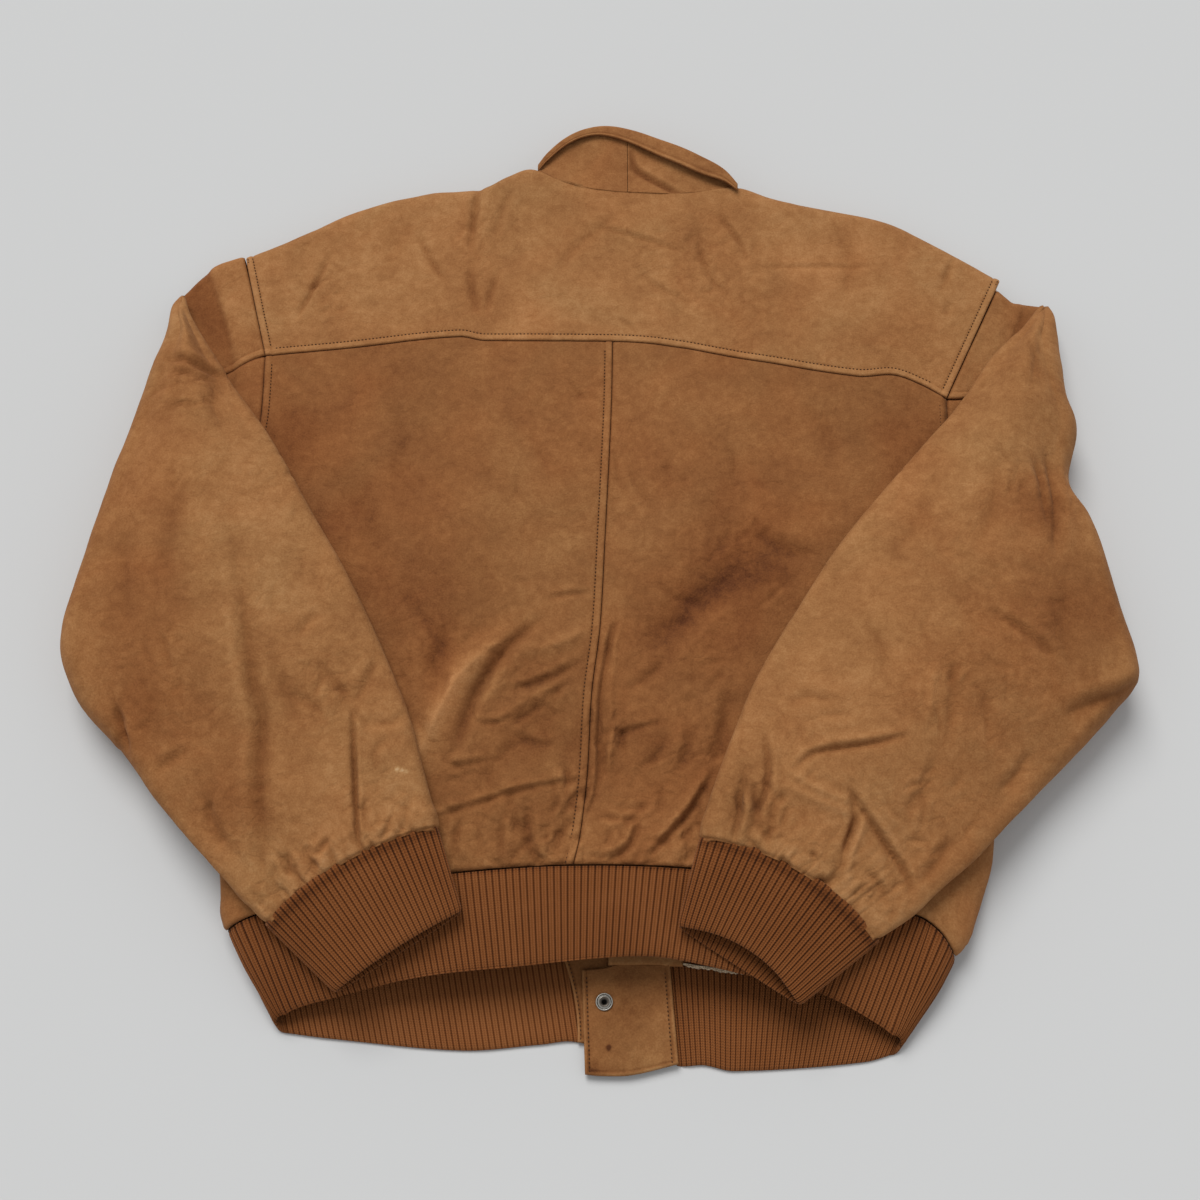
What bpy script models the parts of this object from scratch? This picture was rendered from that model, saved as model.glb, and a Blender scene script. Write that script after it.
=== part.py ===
"""A worn leather blouson jacket, lying face down with both sleeves folded over its back.

Each piece that a maker would cut is one thin wall of its own. The outlines and heights of the pieces
stand in short tables, in millimetres: +X is to the wearer's right, +Y towards the collar, and the
jacket rests on Z = 0. Smooth functions read the tables, and grids are laid over those functions.
"""

from math import cos, floor, hypot, pi, sin

import bmesh
import bpy
from mathutils import Vector

# ---------------------------------------------------------------- driving sizes, in millimetres
MM = 0.001
LEATHER = 2.4  # suede leather with the lining caught against it
RIB = 3.0  # doubled rib knit
SEAM = 0.3  # gap between two pieces where a seam joins them
LIE = 0.8  # gap under a layer that lies on another

PUFF_EDGE = 20.0  # height of the body at its sides and armholes
HALF_WIDTH = 300.0  # where the body has come down to that height
SIDE_RADIUS = 16.0  # how far in the body's side rolls
SHOULDER_RADIUS = 13.0
UNDER_RUN = 11.0  # what a rolled edge shows on the underside

# Height of the back along the length of the jacket.
PUFF = [  # y, height
    (-380, 37),
    (-320, 38),
    (-270, 40),
    (-150, 44),
    (0, 46),
    (100, 42),
    (170, 37),
    (250, 31),
    (340, 27),
]

# Back panels, from the hem seam (0) to the yoke seam (1).
BACK = [  # fraction, left edge x, centre seam x, right edge x, how far the side rolls under
    (0.00, -264, -17, 254, 1),
    (0.04, -269, -13, 266, 1),
    (0.09, -273, -10, 275, 1),
    (0.16, -282, -7, 286, 1),
    (0.30, -289, -4, 292, 1),
    (0.42, -290, 2, 292, 1),
    (0.60, -287, 6, 290, 0),
    (0.75, -274, 9, 282, 0),
    (0.87, -266, 11, 276, 0),
    (1.00, -266, 12, 277, 0),
]
HEM_SEAM = [  # x, y
    (-264, -289),
    (-244, -280),
    (-180, -262),
    (-109, -252),
    (-17, -246),
    (74, -249),
    (150, -262),
    (226, -280),
    (242, -291),
    (254, -308),
]
YOKE_SEAM = [  # x, y
    (-266, 167),
    (-198, 171),
    (-110, 179),
    (-90, 175),
    (14, 174),
    (68, 168),
    (129, 156),
    (206, 145),
    (236, 148),
    (260, 139),
    (277, 129),
]
TOP_EDGE = [  # x, y, how far the edge rolls under: the shoulders do, the neck seam doesn't
    (-291, 265, 1),
    (-250, 283, 1),
    (-199, 308, 1),
    (-140, 324, 1),
    (-97, 328, 1),
    (-72, 342, 1),
    (-55, 343, 0.4),
    (-33, 331, 0),
    (0, 321, 0),
    (71, 317, 0),
    (108, 321, 0.1),
    (123, 326, 0.6),
    (145, 319, 1),
    (186, 310, 1),
    (242, 297, 1),
    (295, 268, 1),
    (332, 244, 1),
]
CENTRE_SHARE = 0.5  # the centre-back seam halves the panels
SIDE_SEAM_IN = 36.0  # the right side seam lies this far in on top

# Waistband: its lower edge at the back stands open over the fronts.
WAIST_EDGE = [  # x, y
    (-227, -356),
    (-216, -345),
    (-183, -336),
    (-124, -323),
    (-54, -316),
    (8, -310),
    (45, -310),
    (101, -321),
    (157, -334),
    (200, -356),
    (214, -369),
]
FRONT_SEAM = [(-262, -292), (-150, -302), (0, -306), (150, -308), (252, -311)]  # x, y
FRONT_EDGE = [  # x, y
    (-227, -357),
    (-187, -362),
    (-95, -370),
    (-40, -366),
    (-16, -364),
    (57, -384),
    (75, -380),
    (96, -384),
    (187, -378),
    (216, -370),
]
WAIST_FOLD = 13.0  # height of the waistband at its side folds
WAIST_RADIUS = 8.0
MOUTH = 36.0  # height of the open hem at its middle
WAIST_GAP = 0.022  # seam gap under the panels, as a fraction of the waistband's width

CENTRE_FRONT = 20.0
NECK_DIP = 72.0  # the front neckline hangs this far under the shoulders
NECK_MIDDLE = 32.0
NECK_HALF = 86.0
NECK_STEP = 22.0  # the fronts' columns at the neckline are this far apart
NECK_COLUMNS = {-1: 3, 1: 4}

# Folded sleeves, from the fold at the shoulder (0) to the cuff seam (1). The outer edge is rolled on
# to the floor, the inner edge lies on the back.
SLEEVE_LEFT = [  # fraction, outer x, y, inner x, y, base, outer height, crown, edge height, run under
    (0.00, -335, 234, -327, 224, 21, 26, 27, 5, 2),
    (0.03, -342, 222, -325, 210, 21, 36, 38, 12, 2),
    (0.10, -347, 187, -309, 172, 0, 42, 47, 15, 8),
    (0.20, -360, 133, -288, 138, 0, 46, 54, 16, 56),
    (0.35, -376, 60, -257, 94, 0, 50, 62, 17, 69),
    (0.48, -389, -8, -228, 42, 0, 52, 68, 18, 82),
    (0.62, -400.8, -76, -193, -17, 0, 52, 71, 18, 92),
    (0.72, -384, -124, -166, -68, 0, 48, 71, 18, 74),
    (0.82, -345, -166, -140, -127, 3, 46, 69, 18, 30),
    (0.91, -303, -217, -124, -180, 27, 48, 66, 18, 6),
    (1.00, -230, -289, -112, -222, 33, 48, 59, 17, 6),
]
SLEEVE_RIGHT = [  # fraction, outer x, y, inner x, y, base, outer height, crown, edge height, run under
    (0.00, 362, 214, 350, 207, 21, 27, 28, 5, 2),
    (0.03, 368, 202, 344, 190, 21, 38, 40, 12, 2),
    (0.12, 369, 158, 318, 162, 0, 42, 48, 15, 8),
    (0.20, 371, 128, 298, 140, 0, 46, 55, 16, 44),
    (0.29, 376, 96, 280, 115, 0, 49, 60, 17, 60),
    (0.36, 366, 50, 256, 86, 0, 50, 64, 18, 53),
    (0.42, 379, 22, 238, 64, 0, 50, 66, 18, 66),
    (0.60, 393, -50, 178, -12, 0, 52, 71, 18, 78),
    (0.72, 401, -108, 134, -80, 0, 52, 72, 18, 85),
    (0.80, 376, -137, 111, -120, 0, 48, 72, 18, 24),
    (0.86, 333, -180, 97, -154, 10, 46, 71, 18, 5),
    (0.90, 302, -210, 89, -174, 28, 48, 69, 18, 5),
    (0.95, 258, -250, 79, -203, 33, 49, 65, 18, 6),
    (1.00, 194, -301, 72, -230, 33, 49, 60, 17, 6),
]
EDGE_RADIUS = 10.0  # inner edge of a folded sleeve
OUTER_RADIUS = 17.0
# Round a sleeve's section, as fractions: where the run under its outer edge ends, where the outer roll
# and the top end, and where the inner roll ends and the run under it starts.
ROLL_AT, TOP_AT, INNER_AT, TUCK_AT = 0.1, 0.35, 0.7, 0.9
TUCK = 12.0  # how far the inner edge runs under

# Each cuff: the two ends of its seam and of its opening, outer end first, and how far the seam bows
# towards the sleeve.
CUFF_LEFT = {"seam": ((-230, -290), (-112, -223)), "opening": ((-182, -334), (-94, -280)), "bow": 9}
CUFF_RIGHT = {"seam": ((194, -302), (72, -231)), "opening": ((140, -343), (56, -290)), "bow": 13}
CUFF_DEEP = 16.0  # how thick the flattened cuff is
BOW_FROM = 0.8  # the sleeve takes up the bow from this fraction on

# Shoulder pieces, between the armhole seam and the folded sleeve: lines from the armhole outwards.
SHOULDER_LEFT = {
    "top": [(-291.5, 264.4), (-301, 256), (-317, 250), (-332, 236)],
    "outward": [(-314, 154), (-322, 192), (-332, 236)],
    "seam": [(-266.6, 167.8), (-278, 163), (-289, 156), (-314, 154)],
    "under": [(-270, 76), (-304, 68)],
    "valley": 0.5,
}
SHOULDER_RIGHT = {
    "top": [(332.6, 243.6), (336, 222), (343, 217), (355, 215)],
    "outward": [(342, 142), (346, 175), (355, 215)],
    "seam": [(277.8, 129.4), (286, 130), (304, 134), (342, 142)],
    "under": [(283, 42), (330, 36)],
    "valley": 0.5,
}
VALLEY_DEEP = 7.0  # a soft valley crosses each shoulder piece
CAP_RADIUS = 9.0
CAP_CLEAR = 2.4  # its rolled end stands off the shoulder's roll by this much

# Collar: the fall stands up at the left and is turned over at the right.
COLLAR = [  # x, outline y, how far the edge is turned over, height
    (-54, 344, 2, 26),
    (-43, 361, 2, 26),
    (-23, 379, 2, 27),
    (-2, 387, 3, 28),
    (20, 385, 9, 30),
    (53, 371, 14, 32),
    (86, 355, 15, 33),
    (105, 342, 10, 33),
    (118, 325, 3, 32),
]
COLLAR_COLUMNS = [-50, -46, -35, -24, -13, -2, 9, 20, 42, 64, 86, 108, 113]
COLLAR_RADIUS = 6.0
COLLAR_CENTRE = 25.0  # the under-collar's centre seam

# Leather tabs that end the waistband, and what shows above them.
TAB_RIGHT = [  # x along the top, top y, x along the bottom, bottom y
    (-11, -315, -8, -384),
    (7, -313, 2, -386.5),
    (14, -311, 24, -387),
    (52, -311, 57, -379),
]
TAB_LEFT = [(-22, -314, -14.6, -364), (-14, -313, -9, -365), (52, -312, 50, -365)]
SHRED_THICK = 1.4
SNAP_AT = (5.0, -337.0)
SNAP_RING = [(2.2, 0.0), (6.0, 0.0), (6.0, 0.7), (4.6, 1.4), (3.4, 0.9), (2.2, 1.3)]  # radius, height
FACING = [(8, -299, 8, -308), (34, -299, 34, -309), (61, -300, 61, -311)]
SHREDS = [(62, -308, 62, -314), (86, -312, 88, -318), (103, -317, 104, -322)]

# Rounded solids for the layers that the outer pieces hide.
LEAST_FILLING = 3.0  # how thick they are at least
FILLING_SQUARE = 8  # how squarely their top is filled out towards its edges
BODY_FILLING = {"x": (-244, 250), "low y": -232, "under the top edge": 26}
SLEEVE_FILLING = {"round": (0.40, 0.64), "down": (0.50, 0.94)}  # fractions of the sleeve's surface
PAST_BODY = (12, 40)  # mm beyond the body's side over which a sleeve's filling comes down to the floor

# Colour and roughness of each kind of piece.
SUEDE = ((0.27, 0.13, 0.055), 0.9)
SUEDE_DARK = ((0.19, 0.085, 0.035), 0.9)
KNIT = ((0.145, 0.05, 0.018), 0.95)
INSIDE = ((0.10, 0.045, 0.02), 0.95)
LINEN = ((0.62, 0.55, 0.45), 0.95)
METAL = ((0.30, 0.29, 0.27), 0.35)


# ---------------------------------------------------------------- reading the tables
def smooth(rows):
    """A function of a table's first column, giving its other columns on smooth curves."""
    rows = sorted(rows)
    keys = [row[0] for row in rows]
    values = [row[1:] for row in rows]
    width = len(values[0])

    def slope(i, column):
        low, high = max(i - 1, 0), min(i + 1, len(rows) - 1)
        return (values[high][column] - values[low][column]) / (keys[high] - keys[low])

    def at(key):
        key = min(max(key, keys[0]), keys[-1])
        i = max(j for j in range(len(keys) - 1) if keys[j] <= key)
        span = keys[i + 1] - keys[i]
        f = (key - keys[i]) / span
        found = []
        for c in range(width):
            bend = (
                values[i][c] * (2 * f**3 - 3 * f**2 + 1)
                + values[i + 1][c] * (3 * f**2 - 2 * f**3)
                + span * slope(i, c) * (f**3 - 2 * f**2 + f)
                + span * slope(i + 1, c) * (f**3 - f**2)
            )
            found.append(bend)
        return found if width > 1 else found[0]

    return at


def line_through(points):
    """A smooth line through a few points, as a function of a fraction of its length."""
    reach = [0.0]
    for one, two in zip(points, points[1:]):
        reach.append(reach[-1] + hypot(*(b - a for a, b in zip(one, two))))
    return smooth([(r / reach[-1], *point) for r, point in zip(reach, points)])


def mix(a, b, share):
    if isinstance(a, (int, float)):
        return a + (b - a) * share
    return [mix(one, two, share) for one, two in zip(a, b)]


def share_of(value, low, high):
    return (value - low) / (high - low)


puff = smooth(PUFF)
back_width = smooth(BACK)
hem_seam = smooth(HEM_SEAM)
yoke_seam = smooth(YOKE_SEAM)
top_edge = smooth(TOP_EDGE)
waist_edge = smooth(WAIST_EDGE)
front_seam = smooth(FRONT_SEAM)
front_edge = smooth(FRONT_EDGE)
collar_line = smooth(COLLAR)


# ---------------------------------------------------------------- making the pieces
def finish(bm, name, look):
    mesh = bpy.data.meshes.new(name)
    bm.to_mesh(mesh)
    bm.free()
    mesh.shade_smooth()
    piece = bpy.data.objects.new(name, mesh)
    bpy.context.scene.collection.objects.link(piece)
    colour, roughness = look
    material = bpy.data.materials.new(name)
    material.use_nodes = True
    shader = material.node_tree.nodes["Principled BSDF"]
    shader.inputs["Base Color"].default_value = (*colour, 1)
    shader.inputs["Roughness"].default_value = roughness
    shader.inputs["Metallic"].default_value = 1.0 if look is METAL else 0.0
    mesh.materials.append(material)
    return piece


def laid_grid(across, along, place):
    """A grid laid over `place`, which turns two fractions into a point of the piece's outer face."""
    bm = bmesh.new()
    bmesh.ops.create_grid(bm, x_segments=across, y_segments=along, size=0.5)
    for vert in bm.verts:
        vert.co = Vector(place(vert.co.x + 0.5, vert.co.y + 0.5)) * MM
    return bm


def finish_wall(bm, name, look, thick):
    """Gives a sheet its thickness inwards, and keeps it all above what the jacket lies on."""
    piece = finish(bm, name, look)
    solid = piece.modifiers.new("Wall", "SOLIDIFY")
    solid.thickness = thick * MM
    solid.offset = -1
    graph = bpy.context.evaluated_depsgraph_get()
    thickened = bpy.data.meshes.new_from_object(piece.evaluated_get(graph))
    piece.modifiers.clear()
    piece.data = thickened
    for vert in thickened.vertices:
        vert.co.z = max(vert.co.z, 0)
    return piece


def wall(name, across, along, place, look, thick=LEATHER, turned=False):
    """One piece of cloth: its outer face from `place`, and its thickness inwards."""
    bm = laid_grid(across, along, place)
    if turned:
        bmesh.ops.reverse_faces(bm, faces=bm.faces)
    return finish_wall(bm, name, look, thick)


def filled_out(share):
    """How full a filling is, at a share of the way across it."""
    return max(1 - abs(2 * share - 1) ** FILLING_SQUARE, 0) ** 0.5


def filling(name, across, along, top, bottom, look):
    """A rounded solid between two heights: the layers that the outer pieces hide."""
    bm = laid_grid(across, along, top)
    raised = bm.verts[:]
    grown = bmesh.ops.extrude_face_region(bm, geom=bm.faces[:])["geom"]
    for vert in grown:
        if isinstance(vert, bmesh.types.BMVert):
            vert.co.z = bottom(vert.co.x / MM, vert.co.y / MM) * MM
    for vert in raised:
        low = bottom(vert.co.x / MM, vert.co.y / MM)
        vert.co.z = max(vert.co.z, (low + LEAST_FILLING) * MM)
    bmesh.ops.recalc_face_normals(bm, faces=bm.faces[:])
    return finish(bm, name, look)


# ---------------------------------------------------------------- body
def height(x, y):
    """Outer height of the back at a place: full in the middle, low at the sides."""
    across = min(abs(x) / HALF_WIDTH, 1)
    return PUFF_EDGE + (puff(y) - PUFF_EDGE) * (1 - across**3)


def roll_length(top, radius):
    return pi / 2 * (radius + top / 2)


def rolled(distance, top, radius):
    """How far out and how high a point is, `distance` along an edge that rolls from `top` to the floor."""
    length = roll_length(top, radius)
    angle = pi * min(distance / length, 1)
    return radius * sin(angle) - max(distance - length, 0), top / 2 * (1 + cos(angle))


def back_x(share, fraction):
    left, centre, right, _ = back_width(fraction)
    if share < CENTRE_SHARE:
        return mix(left, centre, share / CENTRE_SHARE)
    return mix(centre, right, share_of(share, CENTRE_SHARE, 1))


def back_y(share, fraction):
    return mix(hem_seam(back_x(share, 0)), yoke_seam(back_x(share, 1)), fraction)


def back_point(x, fraction):
    """A point on top of the back, at a height up the panel given as a fraction."""
    left, centre, right, _ = back_width(fraction)
    low, high, from_share = (left, centre, 0) if x < centre else (centre, right, CENTRE_SHARE)
    share = from_share + CENTRE_SHARE * share_of(x, low, high)
    y = back_y(share, fraction)
    return x, y, height(x, y)


def side_edge(side, fraction):
    left, _, right, turn = back_width(fraction)
    return (left if side < 0 else right), turn


def side_point(side, fraction, share, run):
    """A point on the body's side: `share` goes from the top, round the roll, to `run` mm under it.

    Above the underarm the side doesn't turn, and the same shares lie flat up to the armhole.
    """
    edge, turn = side_edge(side, fraction)
    inner = edge - side * SIDE_RADIUS
    flat = back_point(inner + side * SIDE_RADIUS * share, fraction)
    top = back_point(inner, fraction)[2]
    out, high = rolled(share * (roll_length(top, SIDE_RADIUS) + run), top, SIDE_RADIUS)
    x = inner + side * out
    y = back_point(x, fraction)[1] if high > top / 2 else flat[1]
    return mix(flat, (x, y, high), turn)


LEFT_COLUMNS = 14
ROLL_COLUMNS = 5  # of the left panel's columns go round its side
RIGHT_COLUMNS = 9
WRAP_COLUMNS = 6  # of the right front's columns go up its side
BACK_ROWS = 10
FRONT_ROWS = 13  # the fronts have the back's rows, and these more above the yoke seam
HEM_GAP = 0.0007  # seam gap at the hem, as a fraction of the panel's length


def left_line(u, fraction):
    roll = ROLL_COLUMNS / LEFT_COLUMNS
    if u < roll:
        return side_point(-1, fraction, 1 - u / roll, UNDER_RUN)
    left, centre, _, _ = back_width(fraction)
    return back_point(mix(left + SIDE_RADIUS, centre - SEAM / 2, share_of(u, roll, 1)), fraction)


def right_line(u, fraction):
    _, centre, right, turn = back_width(fraction)
    return back_point(mix(centre + SEAM / 2, right - SIDE_SEAM_IN * turn - SEAM / 2, u), fraction)


def build_backs():
    for name, columns, line in (
        ("back_left", LEFT_COLUMNS, left_line),
        ("back_right", RIGHT_COLUMNS, right_line),
    ):
        wall(name, columns, BACK_ROWS, lambda u, v: line(u, mix(HEM_GAP, 1, v)), SUEDE_DARK)


def build_yoke():
    columns = [left_line(i / LEFT_COLUMNS, 1)[0] for i in range(LEFT_COLUMNS)]
    columns += [right_line(i / RIGHT_COLUMNS, 1)[0] for i in range(RIGHT_COLUMNS + 1)]
    top_share = 4 / 9

    def place(u, v):
        x_low = columns[round(u * (len(columns) - 1))]
        x_top = mix(-291 + SEAM / 2, 332 - SEAM / 2, share_of(x_low, columns[0], columns[-1]))
        low = yoke_seam(x_low) + SEAM
        top, turn = top_edge(x_top)
        inner = top - SHOULDER_RADIUS * turn - 1
        y = mix(low, inner, min(v / top_share, 1))
        if v <= top_share:
            x = mix(x_low, x_top, share_of(y, low, top))
            return x, y, height(x, y)
        share = share_of(v, top_share, 1)
        high = height(x_top, inner)
        out, z = rolled(share * (roll_length(high, SHOULDER_RADIUS) + UNDER_RUN), high, SHOULDER_RADIUS)
        y, z = mix((inner + share, high), (inner + out, z), turn)
        return mix(x_low, x_top, share_of(y, low, top)), y, z

    wall("back_yoke", len(columns) - 1, 9, place, SUEDE)


def front_top(x):
    y = min(top_edge(x + near)[0] for near in (-9, 0, 9))
    dip = NECK_DIP * max(1 - ((x - NECK_MIDDLE) / NECK_HALF) ** 2, 0)
    return y - SHOULDER_RADIUS - UNDER_RUN - 9 - dip


def armhole_x(side, y):
    """The front's edge above the yoke seam follows the armhole up to the shoulder."""
    low, high = ((-266, 167), (-291, 265)) if side < 0 else ((277, 129), (332, 244))
    return mix(low[0], high[0], share_of(y, low[1], high[1]))


def front_row(side, v):
    """Where a row of a front meets the side: its edge x, its y, how far the side turns, its fraction."""
    fraction = mix(HEM_GAP, 1, min(v * FRONT_ROWS / BACK_ROWS, 1))
    share = 0 if side < 0 else 1
    y = back_y(share, fraction)
    edge, turn = side_edge(side, fraction)
    if v * FRONT_ROWS > BACK_ROWS:
        y = mix(y, front_top(edge), share_of(v * FRONT_ROWS, BACK_ROWS, FRONT_ROWS))
        edge = armhole_x(side, y)
    return edge, y, turn, fraction


def top_columns(side, edge):
    """Where a front's columns end at the top: close together round the neckline, then out to the armhole."""
    neck = [CENTRE_FRONT + side * NECK_STEP * i for i in range(NECK_COLUMNS[side] + 1)]
    return neck + [mix(neck[-1], edge, i / 4) for i in range(1, 5)]


def floor_point(side, share, outer, y, v):
    """A point of a front on the floor, at a share of the way from the centre front to its outer edge."""
    x = mix(CENTRE_FRONT, outer, share)
    above = share_of(v * FRONT_ROWS, BACK_ROWS, FRONT_ROWS)
    if above > 0:
        columns = top_columns(side, outer)
        x = mix(x, columns[round(share * (len(columns) - 1))], above)
    up = share_of(y, front_seam(outer), front_top(outer))
    gap = side * SEAM / 2 * (1 - share)
    return x + gap, mix(front_seam(x) + SEAM, front_top(x), min(max(up, 0), 1)), 0


def right_wrap(share, edge, y, turn, fraction):
    """Up the right side, from the floor (0) to the side seam on top (1)."""
    flat = (edge - SIDE_RADIUS * turn - SEAM + share, y, 0)
    length = roll_length(back_point(edge - SIDE_RADIUS, fraction)[2], SIDE_RADIUS)
    strip = SIDE_SEAM_IN - SIDE_RADIUS - SEAM
    distance = (1 - share) * (length + strip) - strip
    if distance > 0:
        up = side_point(1, fraction, distance / length, 0)
    else:
        up = back_point(edge - SIDE_RADIUS + distance, fraction)
    return mix(flat, up, turn)


def build_fronts():
    left_floor = NECK_COLUMNS[-1] + 4
    right_floor = NECK_COLUMNS[1] + 4

    def left(u, v):
        edge, y, turn, _ = front_row(-1, v)
        outer = edge + (SIDE_RADIUS + UNDER_RUN + 1) * turn + SEAM
        return floor_point(-1, 1 - u, outer, y, v)

    def right(u, v):
        edge, y, turn, fraction = front_row(1, v)
        outer = edge - SIDE_RADIUS * turn - SEAM
        column = u * (right_floor + WRAP_COLUMNS)
        if column <= right_floor + 0.01:
            return floor_point(1, column / right_floor, outer, y, v)
        return right_wrap((column - right_floor) / WRAP_COLUMNS, edge, y, turn, fraction)

    wall("front_left", left_floor, FRONT_ROWS, left, SUEDE, turned=True)
    wall("front_right", right_floor + WRAP_COLUMNS, FRONT_ROWS, right, SUEDE, turned=True)


# ---------------------------------------------------------------- waistband, tabs and snap
WAIST_LEFT, WAIST_RIGHT = WAIST_EDGE[0][0], WAIST_EDGE[-1][0]
TAB_LEFT_EDGE = (-23.6, -15.0)  # x where the waistband meets the left tab: at its seam, at its free edge
TAB_RIGHT_EDGE = (57.6, 58.2)
WRAP_STRIP = 1.4  # columns of the wrap that lie flat on top
FLOOR_COLUMNS = 6  # on the floor, at each side of the tabs


def mouth(x):
    share = 2 * share_of(x, WAIST_LEFT, WAIST_RIGHT) - 1
    return WAIST_FOLD + (MOUTH - WAIST_FOLD) * (1 - abs(share) ** 2.4)


def fold_point(side, share):
    """Round one of the waistband's side folds at the open hem: 0 on top, 1 underneath."""
    edge = WAIST_LEFT if side < 0 else WAIST_RIGHT
    inner = edge - side * WAIST_RADIUS
    angle = pi * share
    y = mix(waist_edge(inner), front_edge(inner), (1 - cos(angle)) / 2)
    return inner + side * WAIST_RADIUS * sin(angle), y, mouth(inner) / 2 * (1 + cos(angle))


def waist_columns():
    """The waistband's columns all round: a point on its seam and a point on its free edge for each."""
    left, _, right, _ = back_width(0)
    inner_left, inner_right = left + SIDE_RADIUS, right - SIDE_RADIUS
    fold_left, fold_right = WAIST_LEFT + WAIST_RADIUS, WAIST_RIGHT - WAIST_RADIUS

    def on_floor(x, low):
        return (x, front_seam(x), 0), (low, front_edge(low), 0)

    def on_top(x, y, z):
        low = mix(fold_left, fold_right, share_of(x, inner_left, inner_right))
        return (x, y, z), (low, waist_edge(low), mouth(low))

    columns = []
    under = left_line(0, 0)[0]
    for i in range(FLOOR_COLUMNS):
        share = i / FLOOR_COLUMNS
        columns.append(on_floor(mix(TAB_LEFT_EDGE[0], under, share), mix(TAB_LEFT_EDGE[1], fold_left, share)))
    for i in range(ROLL_COLUMNS):
        columns.append((left_line(i / LEFT_COLUMNS, 0), fold_point(-1, 1 - i / ROLL_COLUMNS)))
    for i in range(ROLL_COLUMNS, LEFT_COLUMNS):
        columns.append(on_top(*left_line(i / LEFT_COLUMNS, 0)))
    for i in range(RIGHT_COLUMNS + 1):
        columns.append(on_top(*right_line(i / RIGHT_COLUMNS, 0)))
    for i in range(1, WRAP_COLUMNS + 1):
        x, y, z = right_wrap(1 - i / WRAP_COLUMNS, right, back_y(1, 0), 1, 0)
        top = height(x, y)
        if x < inner_right and z > top / 2:
            columns.append(on_top(x, y, z))
        else:
            share = share_of(i, WRAP_STRIP, WRAP_COLUMNS)
            columns.append(((x, y, z), fold_point(1, share)))
    for i in range(1, FLOOR_COLUMNS + 1):
        share = i / FLOOR_COLUMNS
        seam_x = mix(inner_right, TAB_RIGHT_EDGE[0], share)
        columns.append(on_floor(seam_x, mix(fold_right, TAB_RIGHT_EDGE[1], share)))
    return columns


def build_waistband():
    columns = waist_columns()
    last = len(columns) - 1
    wall("waistband", last, 2, lambda u, v: mix(*columns[round(u * last)], mix(1, WAIST_GAP, v)), KNIT, RIB)


def strip(name, rows, top, look, thick, across=4, along=2):
    """A flat piece ruled between its upper and its lower edge."""
    upper = smooth([(row[0], row[1]) for row in rows])
    lower = smooth([(row[2], row[3]) for row in rows])

    def place(u, v):
        x_up = mix(rows[0][0], rows[-1][0], u)
        x_low = mix(rows[0][2], rows[-1][2], u)
        return mix((x_low, lower(x_low), top), (x_up, upper(x_up), top), v)

    wall(name, across, along, place, look, thick)


def build_tabs():
    second = LEATHER + LIE + LEATHER
    strip("hem_tab_left", TAB_LEFT, LEATHER, SUEDE, LEATHER)
    strip("hem_tab_right", TAB_RIGHT, second, SUEDE, LEATHER)
    strip("facing_right", FACING, second, SUEDE, LEATHER, along=1)
    strip("interlining_edge", SHREDS, RIB + LIE + SHRED_THICK, LINEN, SHRED_THICK, across=8, along=1)

    bm = bmesh.new()
    ring = [bm.verts.new((r * MM, 0, z * MM)) for r, z in SNAP_RING]
    for one, two in zip(ring, ring[1:] + ring[:1]):
        bm.edges.new((one, two))
    profile = bm.verts[:] + bm.edges[:]
    bmesh.ops.spin(bm, geom=profile, axis=(0, 0, 1), cent=(0, 0, 0), angle=2 * pi, steps=16, use_merge=True)
    bmesh.ops.recalc_face_normals(bm, faces=bm.faces[:])
    bmesh.ops.translate(bm, verts=bm.verts, vec=Vector((*SNAP_AT, second + SEAM)) * MM)
    finish(bm, "snap_back", METAL)


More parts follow.
